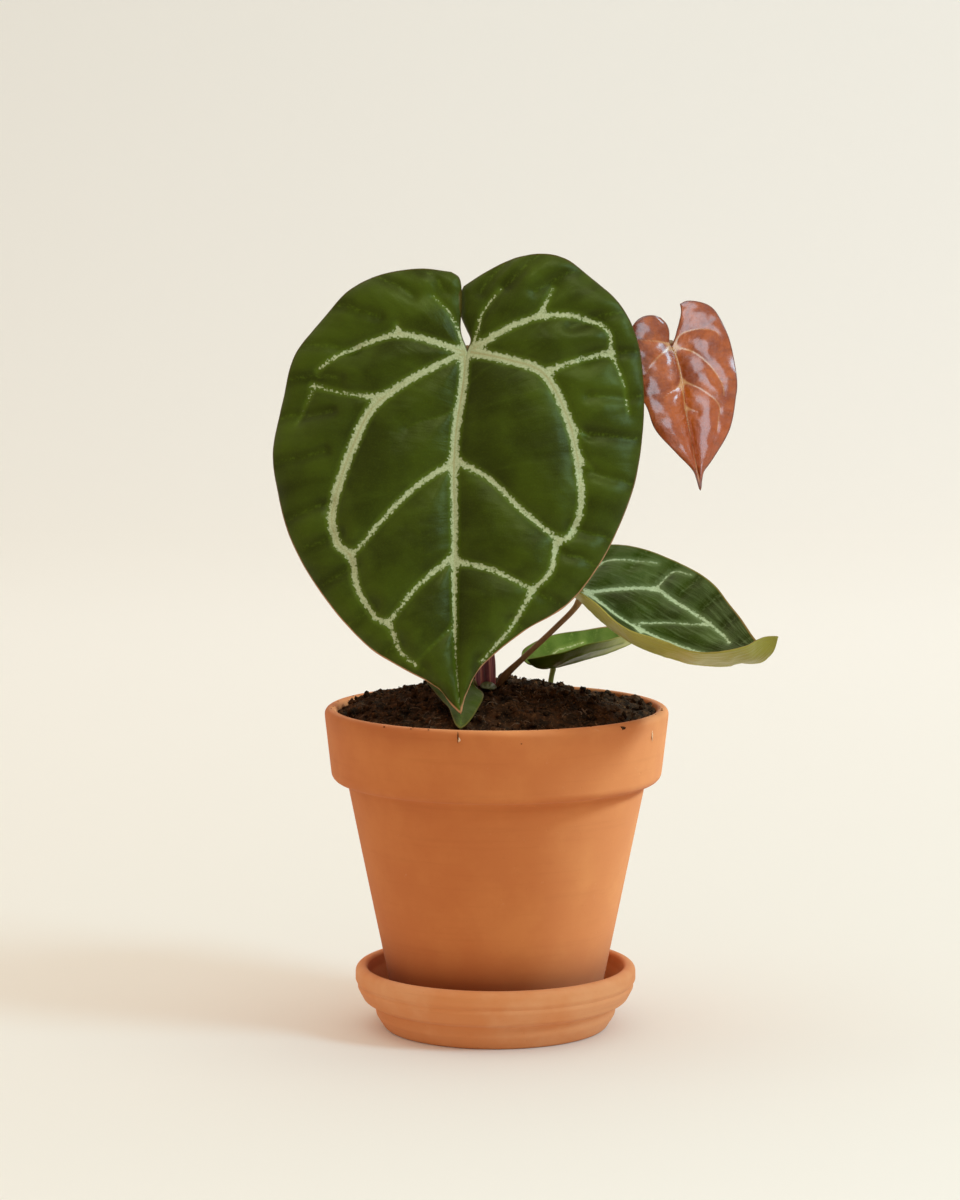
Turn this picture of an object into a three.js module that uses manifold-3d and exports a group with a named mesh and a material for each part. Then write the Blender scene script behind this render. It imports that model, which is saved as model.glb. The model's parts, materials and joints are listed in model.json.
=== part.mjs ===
// Potted crystal anthurium: a small heart-leaved house plant in a terracotta pot on its saucer.
// Millimetres, +Z up, the viewer stands at -Y. The origin is the centre of the saucer's underside.
// A leaf is drawn flat in its own frame: across the blade, along it from stalk to tip, and lifted
// towards its upper face. The frame then hangs the blade at its junction with the stalk.

import * as THREE from 'three';
import { mergeVertices } from 'three/addons/utils/BufferGeometryUtils.js';
import Module from 'manifold-3d';

const wasm = await Module();
wasm.setup();

// Driving dimensions of the pot and its saucer
const RIM_DIAMETER = 150;
const POT_HEIGHT = 134.7;
const FOOT_DIAMETER = 88;
const COLLAR_HEIGHT = 31;
const WALL = 4;
const FLOOR = 6.7;
const DRAIN_DIAMETER = 14;
const SAUCER_DIAMETER = 122.6;
const SAUCER_HEIGHT = 27.4;
const SAUCER_FLOOR = 6;
const GAP = 0.3;
const LATHE_SIDES = 64;

// Heights and radii that follow from them
const POT_FOOT = SAUCER_FLOOR + GAP;
const POT_TOP = POT_FOOT + POT_HEIGHT;
const COLLAR_FOOT = POT_TOP - COLLAR_HEIGHT;
const RIM_RADIUS = RIM_DIAMETER / 2;
const FOOT_RADIUS = FOOT_DIAMETER / 2;
const SAUCER_RADIUS = SAUCER_DIAMETER / 2;
const NECK_RADIUS = RIM_RADIUS - 10;

// Soil: its level at the middle and at the wall, and the mounds and dips of its top
const SOIL_MIDDLE = 149.5;
const SOIL_EDGE = 139.5;
const SOIL_RINGS = 13;
const SOIL_SIDES = 48;
const SOIL_CRUMB = 0.8;
const SOIL_MOUNDS = [
  { at: [18, 14], rise: 2.2, spread: 14 },
  { at: [-40, 25], rise: 1.5, spread: 14 },
  { at: [-4, -17], rise: -2, spread: 9 },
  { at: [-24, 60], rise: -3.5, spread: 9 },
  { at: [56, 38], rise: -2.5, spread: 10 },
];

// Stems: every stalk stands this deep in the soil, in a hole that is a little wider than it
const STALK_FOOT = 136;
const STALK_SIDES = 8;
const STALK_STEPS = 20;
const HOLE_CLEARANCE = 0.35;

// Blades
const BLADE = 0.8;
const SEAT = 0.35;
const RULING_START = 1.6;
const BOW_FADE = 5;
const COLUMN_SPREAD = 1.35;

const COLOURS = {
  terracotta: 0xc06a3c,
  soil: 0x2b1e16,
  leafGreen: 0x2f4a1f,
  youngGreen: 0x3f7426,
  bronze: 0xa2501d,
  stalk: 0x5d4424,
  sheath: 0x5e2430,
  bract: 0x656b4c,
};

const finishes = {};
for (const [name, color] of Object.entries(COLOURS)) {
  const roughness = name === 'bronze' ? 0.25 : name === 'soil' ? 1 : 0.6;
  finishes[name] = new THREE.MeshStandardMaterial({ name, color, roughness, metalness: 0 });
}

const vector = ([x, y, z]) => new THREE.Vector3(x, y, z);
const smoothCurve = (points) =>
  new THREE.CatmullRomCurve3(points.map(vector), false, 'centripetal');

function named(name, geometry, finish) {
  const mesh = new THREE.Mesh(geometry, finishes[finish].clone());
  mesh.name = name;
  return mesh;
}

// A closed surface of revolution about Z, from a profile of [radius, height] that closes on itself
function turned(profile) {
  const points = [...profile, profile[0]].map(([r, z]) => new THREE.Vector2(r, z));
  return new THREE.LatheGeometry(points, LATHE_SIDES).rotateX(Math.PI / 2);
}

// A closed skin over a stack of rings with equal counts, shut by a point below and a point above
function skin(rings, below, above) {
  const count = rings[0].length;
  const vertices = [...rings.flat(), below, above];
  const lowest = vertices.length - 2;
  const highest = vertices.length - 1;
  const index = [];
  for (let k = 0; k < count; k += 1) {
    const next = (k + 1) % count;
    index.push(lowest, next, k);
    for (let ring = 0; ring < rings.length - 1; ring += 1) {
      const a = ring * count + k;
      const b = ring * count + next;
      index.push(a, b, b + count, a, b + count, a + count);
    }
    const top = (rings.length - 1) * count;
    index.push(highest, top + k, top + next);
  }
  const geometry = new THREE.BufferGeometry().setFromPoints(vertices);
  geometry.setIndex(index);
  return geometry;
}

function toSolid(geometry) {
  const bare = new THREE.BufferGeometry();
  bare.setAttribute('position', geometry.getAttribute('position'));
  bare.setIndex(geometry.index);
  const merged = mergeVertices(bare, 1e-4);
  return new wasm.Manifold(
    new wasm.Mesh({
      numProp: 3,
      vertProperties: merged.attributes.position.array,
      triVerts: new Uint32Array(merged.index.array),
    }),
  );
}

function toGeometry(solid) {
  const mesh = solid.getMesh();
  const geometry = new THREE.BufferGeometry();
  geometry.setAttribute('position', new THREE.BufferAttribute(mesh.vertProperties, 3));
  geometry.setIndex(new THREE.BufferAttribute(mesh.triVerts, 1));
  return geometry;
}

// Saucer: a deep dish with a thick band of rim over a narrower foot
function saucerGeometry() {
  const r = SAUCER_RADIUS;
  return turned([
    [0, 0],
    [47.4, 0],
    [49.8, 0.9],
    [51.8, 3.6],
    [52.6, 7],
    [53.3, 9.8],
    [55.6, 11.3],
    [58.1, 13.6],
    [r - 1, 17.6],
    [r, 22],
    [r - 0.5, 25.2],
    [r - 2, SAUCER_HEIGHT - 0.4],
    [r - 3.7, SAUCER_HEIGHT],
    [r - 5.1, SAUCER_HEIGHT - 1],
    [r - 5.6, 24.5],
    [54.8, 20],
    [51.6, 12],
    [49, 7.6],
    [46, SAUCER_FLOOR],
    [0, SAUCER_FLOOR],
  ]);
}

// Pot: a straight taper from foot to neck, then a collar that stands out and flares to the rim
const COLLAR_LIP = [
  [NECK_RADIUS - 0.4, COLLAR_FOOT - 3.5],
  [NECK_RADIUS + 0.6, COLLAR_FOOT - 1.6],
  [NECK_RADIUS + 3, COLLAR_FOOT - 0.6],
  [NECK_RADIUS + 5.6, COLLAR_FOOT + 0.6],
  [NECK_RADIUS + 6.9, COLLAR_FOOT + 3.2],
  [NECK_RADIUS + 7.3, COLLAR_FOOT + 6],
];
const INNER_WALL = [
  [RIM_RADIUS - 5.8, POT_TOP - 4],
  [RIM_RADIUS - 6.6, POT_TOP - 15],
  [NECK_RADIUS - WALL, COLLAR_FOOT - 6],
  [FOOT_RADIUS - 5.5, POT_FOOT + FLOOR + 2.5],
  [FOOT_RADIUS - 8.5, POT_FOOT + FLOOR],
];

function potGeometry() {
  const rim = RIM_RADIUS;
  return turned([
    [DRAIN_DIAMETER / 2, POT_FOOT],
    [FOOT_RADIUS - 1.5, POT_FOOT],
    [FOOT_RADIUS, POT_FOOT + 1.2],
    ...COLLAR_LIP,
    [rim, POT_TOP - 5],
    [rim - 0.2, POT_TOP - 2.4],
    [rim - 1, POT_TOP - 0.7],
    [rim - 2.3, POT_TOP],
    [rim - 4.2, POT_TOP - 0.4],
    [rim - 5.4, POT_TOP - 1.8],
    ...INNER_WALL,
    [DRAIN_DIAMETER / 2, POT_FOOT + FLOOR],
  ]);
}

// Height of the soil's top: a low dome, mounds and dips, and ripples the size of large crumbs
function soilHeight(x, y) {
  const reach = Math.hypot(x, y) / (RIM_RADIUS - 6);
  let height = SOIL_EDGE + (SOIL_MIDDLE - SOIL_EDGE) * (1 - reach ** 2.4);
  for (const { at, rise, spread } of SOIL_MOUNDS) {
    const away = ((x - at[0]) ** 2 + (y - at[1]) ** 2) / spread ** 2;
    height += rise * Math.exp(-away);
  }
  const ripple = Math.sin(0.61 * x + 1.3 * Math.sin(0.23 * y)) * Math.cos(0.53 * y - 0.31 * x);
  return height + SOIL_CRUMB * ripple + SOIL_CRUMB * 0.6 * Math.sin(1.07 * x + 0.83 * y);
}

function ringAt(radius, heightOf) {
  return Array.from({ length: SOIL_SIDES }, (_, k) => {
    const turn = (2 * Math.PI * k) / SOIL_SIDES;
    const x = radius * Math.cos(turn);
    const y = radius * Math.sin(turn);
    return new THREE.Vector3(x, y, heightOf(x, y));
  });
}

// Soil: it fills the pot to a hair's breadth from the wall, with a hole for every stem
function soilGeometry(holes) {
  const walls = [...INNER_WALL].reverse().slice(0, -1);
  const rings = walls.map(([r, z]) => ringAt(r - GAP, () => z + GAP));
  const edge = INNER_WALL[0][0] - GAP;
  for (let k = SOIL_RINGS; k >= 1; k -= 1) rings.push(ringAt((edge * k) / SOIL_RINGS, soilHeight));
  const floor = new THREE.Vector3(0, 0, POT_FOOT + FLOOR + GAP);
  const middle = new THREE.Vector3(0, 0, soilHeight(0, 0));
  let body = toSolid(skin(rings, floor, middle));
  for (const hole of holes) body = body.subtract(toSolid(hole));
  return toGeometry(body);
}

// Stalk: round, thick at its foot, slim along its length and swollen at the knee under the blade
function stalkGeometry({ route, foot, waist, knee }, extra = 0) {
  const curve = smoothCurve(route);
  const frames = curve.computeFrenetFrames(STALK_STEPS, false);
  const stations = [
    [0, foot],
    [0.18, foot],
    [0.45, waist],
    [0.86, waist],
    [0.94, knee],
    [1, knee * 0.85],
  ];
  const radiusAt = (u) => {
    const k = stations.findIndex(([start]) => start >= u);
    if (k <= 0) return stations[0][1];
    const [[u0, r0], [u1, r1]] = [stations[k - 1], stations[k]];
    return r0 + ((r1 - r0) * (u - u0)) / (u1 - u0);
  };
  const rings = [];
  const centres = [];
  for (let step = 0; step <= STALK_STEPS; step += 1) {
    const u = step / STALK_STEPS;
    const centre = curve.getPointAt(u);
    const radius = radiusAt(u) + extra;
    const ring = [];
    for (let k = 0; k < STALK_SIDES; k += 1) {
      const turn = (2 * Math.PI * k) / STALK_SIDES;
      const out = frames.normals[step].clone().multiplyScalar(Math.cos(turn));
      out.addScaledVector(frames.binormals[step], Math.sin(turn));
      ring.push(centre.clone().addScaledVector(out, radius));
    }
    rings.push(ring);
    centres.push(centre);
  }
  const first = centres[0].clone().addScaledVector(frames.tangents[0], -extra);
  const last = centres[STALK_STEPS];
  if (extra > 0) for (const point of rings[0]) point.addScaledVector(frames.tangents[0], -extra);
  return skin(rings, first, last);
}

// Sheath at the crown: a ribbed spike of wrapped scales, standing in the soil
const SHEATH = { at: [-4.8, 2], foot: 133, top: 178, radius: 4.2, ribs: 7, sides: 28 };

function sheathGeometry(extra = 0) {
  const { at, foot, top, radius, ribs, sides } = SHEATH;
  const profile = [
    [0, 0.82],
    [0.3, 0.95],
    [0.42, 1],
    [0.58, 1],
    [0.72, 0.85],
    [0.86, 0.55],
    [0.95, 0.28],
  ];
  const rings = profile.map(([part, width]) =>
    Array.from({ length: sides }, (_, k) => {
      const turn = (2 * Math.PI * k) / sides;
      const rib = 1 + 0.07 * Math.cos(ribs * turn + 3 * part);
      const r = radius * width * rib + extra;
      const z = foot + (top - foot) * part - (part === 0 ? extra : 0);
      return new THREE.Vector3(at[0] + r * Math.cos(turn), at[1] + r * Math.sin(turn), z);
    }),
  );
  const below = new THREE.Vector3(at[0], at[1], foot - extra);
  const above = new THREE.Vector3(at[0], at[1], top);
  return skin(rings, below, above);
}

// The leaf's own frame: `along` runs from the junction towards `towards`, `lift` to its upper face
function leafFrame({ junction, towards, face }) {
  const origin = vector(junction);
  const along = vector(towards).sub(origin).normalize();
  const lift = vector(face);
  lift.addScaledVector(along, -lift.dot(along)).normalize();
  const across = new THREE.Vector3().crossVectors(lift, along);
  return { origin, across, along, lift };
}

// One half of a blade: curves for its midrib, for the edge of its sinus and for its margin
function halfCurves(leaf, half) {
  const start = [0, 0, 0];
  const corner = half.sinus[half.sinus.length - 1];
  return {
    midrib: smoothCurve([start, ...leaf.midrib, leaf.tip]),
    sinus: smoothCurve([start, ...half.sinus]),
    margin: smoothCurve([corner, ...half.margin, leaf.tip]),
    corner: vector(corner),
  };
}

// A point of the half blade, on a ruling from the midrib (s = 0) to the margin (s = 1). The first
// ruling (v = 0) is the edge of the sinus and its bow fades out towards the tip. The blade arches
// between midrib and margin and waves along its margin.
function halfPoint(leaf, half, curves, s, v) {
  const onMidrib = curves.midrib.getPointAt(v ** RULING_START);
  const onMargin = curves.margin.getPointAt(v);
  const ruling = onMargin.clone().sub(onMidrib);
  const point = onMidrib.clone().addScaledVector(ruling, s);
  const bow = curves.sinus.getPointAt(s).addScaledVector(curves.corner, -s);
  point.addScaledVector(bow, (1 - v) ** BOW_FADE);
  const up = new THREE.Vector3(0, 0, 1);
  ruling.normalize();
  up.addScaledVector(ruling, -up.dot(ruling)).normalize();
  const fade = Math.sin(Math.PI * v) ** 0.6;
  const wave = leaf.wave * s ** 3 * Math.sin(2 * Math.PI * leaf.waves * v + half.phase);
  return point.addScaledVector(up, fade * (half.arch * 4 * s * (1 - s) + wave));
}

// Blade: one arched sheet, split into triangles alike on both faces, with its midrib raised below
function bladeGeometry(leaf) {
  const { rows, columns } = leaf;
  const width = 2 * columns + 1;
  const halves = { '-1': leaf.left, 1: leaf.right };
  const curves = { '-1': halfCurves(leaf, leaf.left), 1: halfCurves(leaf, leaf.right) };
  const middle = [];
  for (let row = 0; row < rows; row += 1) {
    for (let column = -columns; column <= columns; column += 1) {
      const side = column < 0 ? -1 : 1;
      const s = (Math.abs(column) / columns) ** COLUMN_SPREAD;
      middle.push(halfPoint(leaf, halves[side], curves[side], s, row / rows));
    }
  }
  middle.push(vector(leaf.tip));
  const tip = middle.length - 1;
  const frame = leafFrame(leaf);
  const place = new THREE.Matrix4().makeBasis(frame.across, frame.along, frame.lift);
  place.setPosition(frame.origin);
  for (const point of middle) point.applyMatrix4(place);

  const faces = [];
  for (let row = 0; row < rows; row += 1) {
    for (let k = 0; k < width - 1; k += 1) {
      const a = row * width + k;
      const b = a + 1;
      if (row === rows - 1) faces.push([a, tip, b]);
      else faces.push([a, a + width, b + width], [a, b + width, b]);
    }
  }
  const rimLoop = [];
  for (let k = 0; k < width; k += 1) rimLoop.push(k);
  for (let row = 1; row < rows; row += 1) rimLoop.push(row * width + width - 1);
  rimLoop.push(tip);
  for (let row = rows - 1; row > 0; row -= 1) rimLoop.push(row * width);

  const normals = middle.map(() => new THREE.Vector3());
  for (const [a, b, c] of faces) {
    const edge = middle[b].clone().sub(middle[a]);
    const normal = edge.cross(middle[c].clone().sub(middle[a]));
    for (const corner of [a, b, c]) normals[corner].add(normal);
  }
  const upper = [];
  const under = [];
  middle.forEach((point, k) => {
    const normal = normals[k].normalize();
    const ribbed = k < tip && k % width === columns;
    const rib = ribbed ? leaf.rib * (1 - Math.floor(k / width) / rows) : 0;
    upper.push(point.clone().addScaledVector(normal, BLADE / 2));
    under.push(point.clone().addScaledVector(normal, -BLADE / 2 - rib));
  });

  const shift = upper.length;
  const index = [];
  for (const [a, b, c] of faces) index.push(a, b, c, a + shift, c + shift, b + shift);
  rimLoop.forEach((a, k) => {
    const b = rimLoop[(k + 1) % rimLoop.length];
    index.push(a, b, b + shift, a, b + shift, a + shift);
  });
  const geometry = new THREE.BufferGeometry().setFromPoints([...upper, ...under]);
  geometry.setIndex(index);
  return geometry;
}

// Where a stalk ends: just under the blade's junction, square to the blade
function seatBelow(leaf, depth) {
  const { origin, lift } = leafFrame(leaf);
  return origin.clone().addScaledVector(lift, -depth).toArray();
}

// The largest leaf hangs in front of the pot's middle, tip down, facing the viewer
const MAIN_LEAF = {
  junction: [-12.6, -22, 296.5],
  towards: [-15.2, -64, 146.9],
  face: [0, -1, 0.28],
  rows: 36,
  columns: 7,
  rib: 1.4,
  wave: 1.1,
  waves: 7,
  midrib: [
    [-1.2, 11, 0],
    [-4, 34, 0],
    [-4.8, 50, 0],
    [-4, 75, 0],
    [-3.4, 110, 0],
    [-2.4, 133, 0],
  ],
  tip: [0, 155.4, 0],
  left: {
    arch: 6,
    phase: 0.4,
    sinus: [
      [-3, -8, 0.6],
      [-2.8, -21, 1.6],
      [-3.9, -31, 2.6],
      [-7.4, -33.6, 3],
    ],
    margin: [
      [-21, -34.5, 4],
      [-37, -32, 3],
      [-50.5, -25, 2],
      [-60, -15, 0],
      [-73, 2.5, -2],
      [-77.6, 20, -4],
      [-81.5, 44.5, -6],
      [-79, 62.5, -6],
      [-72.5, 83, -6],
      [-58.6, 106, -5],
      [-39.5, 127, -3],
      [-24.4, 136.5, -2],
      [-13.6, 142, -1],
      [-8, 146, -0.8],
      [-4, 151.3, -0.3],
    ],
  },
  right: {
    arch: 6,
    phase: 1.9,
    sinus: [
      [1.5, -4.8, -0.4],
      [-0.2, -9.4, -1.2],
      [-3.3, -17, -1.8],
      [-3.8, -24, -1.8],
      [-2, -28.4, -1],
    ],
    margin: [
      [8.9, -35, 2],
      [17, -39, 3],
      [25, -41.2, 4],
      [33.2, -41.7, 4],
      [41.3, -39.8, 4],
      [51.6, -32.8, 2],
      [64.7, -21, 0],
      [72.5, -5.6, -2],
      [75.3, 18.5, -5],
      [73.8, 44.7, -6],
      [68.6, 65.5, -6],
      [56.8, 91.2, -5],
      [43.5, 108, -4],
      [26.2, 119.2, -3],
      [11.7, 131.3, -2],
      [6.4, 137.4, -1],
      [3.2, 143.4, -0.8],
      [1.2, 149, -0.3],
    ],
  },
};

// The newest leaf, small and bronze, hangs behind the largest one's right edge
const BRONZE_LEAF = {
  junction: [75.1, 0, 297.1],
  towards: [87.5, -9, 236],
  face: [0, -1, 0.12],
  rows: 24,
  columns: 5,
  rib: 0.7,
  wave: 0.5,
  waves: 4,
  midrib: [
    [1.5, 6, 0],
    [1.7, 17, 0],
    [0.6, 30, 0],
    [0.6, 48, 0],
    [0.9, 56, 0],
  ],
  tip: [0, 63.1, 0],
  left: {
    arch: 2.5,
    phase: 0.5,
    sinus: [
      [-0.4, -3, 0.5],
      [0.3, -7, 1.5],
      [-0.2, -10, 2.5],
      [-2.2, -13, 3.5],
    ],
    margin: [
      [-5, -14.5, 4.5],
      [-8.6, -15, 5],
      [-12, -14, 5],
      [-15.2, -11, 5],
      [-17.8, -4, 5],
      [-19, 6.5, 4],
      [-18.5, 16.5, 4],
      [-16, 23, 4],
      [-13.9, 33.4, 3],
      [-7.1, 45.2, 1.2],
      [-1.6, 53.4, 0.3],
      [-0.5, 58, 0],
    ],
  },
  right: {
    arch: 2.5,
    phase: 2,
    sinus: [
      [2.4, -3.5, 0.3],
      [3.8, -6.5, 0.8],
      [5.3, -9.5, 1.2],
      [7, -13.8, 2],
      [7.2, -17.2, 3],
    ],
    margin: [
      [10.4, -18, 3],
      [17.4, -15.5, 3],
      [21, -12, 3],
      [24.5, -1, 3],
      [25.2, 9.5, 2],
      [24.5, 21, 2],
      [22.5, 27.5, 1.5],
      [17.6, 39.5, 1],
      [8.6, 50, 0.4],
      [2.9, 55.5, 0],
      [1.2, 59.5, 0],
    ],
  },
};

// The right leaf points to the right and towards the viewer, folded up like a boat, tip curled up
const RIGHT_LEAF = {
  junction: [37.5, 1, 190.9],
  towards: [100.9, -39, 168.2],
  face: [0, -0.42, 0.91],
  rows: 28,
  columns: 6,
  rib: 0.9,
  wave: 0.6,
  waves: 4,
  midrib: [
    [0, 9, -2.4],
    [0, 16, -4.3],
    [0, 33, -7.3],
    [0, 44, -7.6],
    [0, 56, -7],
    [0, 67.5, -5],
    [0, 77, -2.6],
    [0, 86, 0],
    [0, 92.5, 4],
    [0.3, 96.3, 9.5],
  ],
  tip: [1, 97.5, 17.5],
  left: {
    arch: -5.5,
    phase: 0,
    sinus: [
      [-3, -4, 2.5],
      [-9, -8, 8],
    ],
    margin: [
      [-16, -4, 13],
      [-22, 4, 17.5],
      [-27, 13, 20.5],
      [-30.5, 27, 19.5],
      [-32, 39, 17],
      [-32.5, 50, 16],
      [-32, 64, 16.8],
      [-31, 77, 18],
      [-27, 87, 19.5],
      [-18, 93, 20],
      [-9, 93.5, 19.2],
      [-3, 94.8, 18.3],
    ],
  },
  right: {
    arch: -1.5,
    phase: 1,
    sinus: [
      [3, -6, 1],
      [7, -13, 2],
      [13, -18, 3],
    ],
    margin: [
      [22, -16, 4.6],
      [29, -10.5, 6],
      [33, -3, 7],
      [34.5, 8, 8],
      [36, 22, 8],
      [35, 33, 8],
      [31, 48, 7],
      [25.5, 58, 6],
      [20.5, 67, 5],
      [11.5, 80.5, 4],
      [6.5, 88, 6],
      [3.5, 94, 11.5],
    ],
  },
};

// The back leaf, small and low, stands on a short stalk of its own near the pot's back wall
const BACK_LEAF = {
  junction: [25.6, 50, 151.6],
  towards: [71.3, 56, 165.8],
  face: [0, -0.19, 0.98],
  rows: 18,
  columns: 5,
  rib: 0.6,
  wave: 0.3,
  waves: 3,
  midrib: [
    [0, 12, -0.5],
    [0, 30, -1],
  ],
  tip: [0, 50, 2],
  left: {
    arch: -0.8,
    phase: 0,
    sinus: [
      [-3, -4, 1.5],
      [-7, -9, 6],
      [-10.5, -11.5, 11.4],
    ],
    margin: [
      [-14.2, -7.5, 12],
      [-16, 2, 11.5],
      [-16, 15, 11],
      [-14, 28, 9.5],
      [-8, 39, 6],
      [-3, 46, 3.2],
    ],
  },
  right: {
    arch: -1,
    phase: 1,
    sinus: [
      [3, -4, 1],
      [8, -9.5, 2],
      [13.5, -11.5, 3.5],
    ],
    margin: [
      [18.5, -9, 5],
      [18.7, -3, 7],
      [17.5, 4.5, 8],
      [17.5, 14, 6.6],
      [16.2, 27, 5],
      [10.5, 38, 3.5],
      [4, 46, 2.4],
    ],
  },
};

// The front leaf, small, slopes from the crown to the pot's front rim under the largest leaf's tip
const FRONT_LEAF = {
  junction: [-14.1, -22, 162.5],
  towards: [-15.4, -65.5, 140.6],
  face: [0, -0.5, 0.85],
  rows: 18,
  columns: 5,
  rib: 0.6,
  wave: 0.3,
  waves: 3,
  midrib: [
    [-0.3, 12, -0.6],
    [-0.3, 30, -0.6],
  ],
  tip: [0, 48.6, 0],
  left: {
    arch: 1,
    phase: 0,
    sinus: [
      [-2, -4, 1],
      [-4, -7.5, 1.5],
      [-8, -9, 1],
    ],
    margin: [
      [-12.5, -6, 0.5],
      [-15.5, 1, 0],
      [-16.6, 7, -0.5],
      [-15.6, 12.5, -1],
      [-12, 19.5, -1],
      [-8.3, 26.5, -1],
      [-5.3, 33, -0.5],
      [-3.7, 39.5, 0],
      [-1.8, 46, 0],
    ],
  },
  right: {
    arch: 0.6,
    phase: 1,
    sinus: [
      [1.5, -3, 1],
      [3, -5.5, 1.5],
      [5.5, -6.5, 1.5],
    ],
    margin: [
      [8, -2, 1.5],
      [6.8, 6, 1.5],
      [4.6, 12, 1.5],
      [4.8, 17, 1],
      [8.6, 21.5, 0],
      [8.9, 25.5, 0],
      [6.9, 33, -0.5],
      [4.7, 40, 0],
      [2.1, 46, 0],
    ],
  },
};

// An old scale leaf, grey-green, at the crown's foot
const CROWN_BRACT = {
  junction: [-3.4, -2.9, 151.6],
  towards: [-3.8, -15.5, 149.9],
  face: [0.1, -0.35, 0.93],
  rows: 10,
  columns: 3,
  rib: 0,
  wave: 0.2,
  waves: 1,
  midrib: [[0, 6, 1.2]],
  tip: [0, 12.6, 0.6],
  left: {
    arch: 0.6,
    phase: 0,
    sinus: [[-1.6, 0.2, 0]],
    margin: [
      [-3.1, 3, -0.3],
      [-3.3, 7, -0.2],
      [-2, 10.8, 0.4],
    ],
  },
  right: {
    arch: 0.6,
    phase: 0,
    sinus: [[1.6, 0.2, 0]],
    margin: [
      [3.1, 3, -0.3],
      [3.3, 7, -0.2],
      [2, 10.8, 0.4],
    ],
  },
};

const underRib = (leaf) => BLADE / 2 + leaf.rib + SEAT;

const STALKS = {
  leaf_main_stalk: {
    foot: 2.8,
    waist: 2.1,
    knee: 3,
    route: [
      [-11.5, 6, STALK_FOOT],
      [-11.5, 6, 150],
      [-13.5, 9, 200],
      [-14, 7, 250],
      [-13.3, 1, 283],
      [-12.8, -9, 294],
      seatBelow(MAIN_LEAF, underRib(MAIN_LEAF)),
    ],
  },
  leaf_bronze_stalk: {
    foot: 2.2,
    waist: 1.5,
    knee: 1.9,
    route: [
      [-4, 10.5, STALK_FOOT],
      [-4, 10.5, 150],
      [-3, 14, 190],
      [6, 17, 225],
      [34, 16, 263],
      [60, 14, 287],
      [71, 10, 295.8],
      [75, 5, 298.2],
      seatBelow(BRONZE_LEAF, underRib(BRONZE_LEAF)),
    ],
  },
  leaf_right_stalk: {
    foot: 1.9,
    waist: 1.25,
    knee: 1.6,
    route: [
      [1, 6, STALK_FOOT],
      [1, 6, 147],
      [2.6, 5.8, 152.2],
      [11.5, 4.8, 161.4],
      [25.4, 3.3, 174.8],
      [34.4, 2.6, 184.3],
      seatBelow(RIGHT_LEAF, underRib(RIGHT_LEAF)),
    ],
  },
  leaf_back_stalk: {
    foot: 1.3,
    waist: 1.2,
    knee: 1.3,
    route: [
      [24.2, 51.4, STALK_FOOT],
      [24.2, 51.4, 142],
      [24.8, 50.8, 147],
      seatBelow(BACK_LEAF, underRib(BACK_LEAF)),
    ],
  },
  leaf_front_stalk: {
    foot: 1.6,
    waist: 1.3,
    knee: 1.5,
    route: [
      [-9, -4.8, STALK_FOOT],
      [-9, -4.8, 147],
      [-10, -8, 152.5],
      [-12.8, -16.5, 156.5],
      [-13.8, -20.6, 159],
      seatBelow(FRONT_LEAF, underRib(FRONT_LEAF)),
    ],
  },
};

const vessel = new THREE.Group();
vessel.add(named('saucer', saucerGeometry(), 'terracotta'));
vessel.add(named('pot', potGeometry(), 'terracotta'));

const plant = new THREE.Group();
const holes = [sheathGeometry(HOLE_CLEARANCE)];
for (const [name, stalk] of Object.entries(STALKS)) {
  plant.add(named(name, stalkGeometry(stalk), 'stalk'));
  holes.push(stalkGeometry(stalk, HOLE_CLEARANCE));
}
plant.add(named('crown_sheath', sheathGeometry(), 'sheath'));
plant.add(named('crown_bract', bladeGeometry(CROWN_BRACT), 'bract'));
plant.add(named('leaf_main_blade', bladeGeometry(MAIN_LEAF), 'leafGreen'));
plant.add(named('leaf_bronze_blade', bladeGeometry(BRONZE_LEAF), 'bronze'));
plant.add(named('leaf_right_blade', bladeGeometry(RIGHT_LEAF), 'leafGreen'));
plant.add(named('leaf_back_blade', bladeGeometry(BACK_LEAF), 'youngGreen'));
plant.add(named('leaf_front_blade', bladeGeometry(FRONT_LEAF), 'leafGreen'));
vessel.add(named('soil', soilGeometry(holes), 'soil'));

const pottedAnthurium = new THREE.Group();
pottedAnthurium.add(vessel, plant);

export default pottedAnthurium;
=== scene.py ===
# %% [markdown]
# # A potted crystal anthurium
# The frame is a measured model of the plant: saucer, pot, soil, stalks and heart-shaped blades.
# This lesson keeps its sizes and gives every piece the surface that the real one shows: silver
# veins on velvet green, a glossy bronze new leaf, crumbly potting mix and unglazed clay.
# Shapes are written in millimetres, as on a drawing, and turned to metres as each mesh is made.

import json
from math import pi, radians

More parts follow.
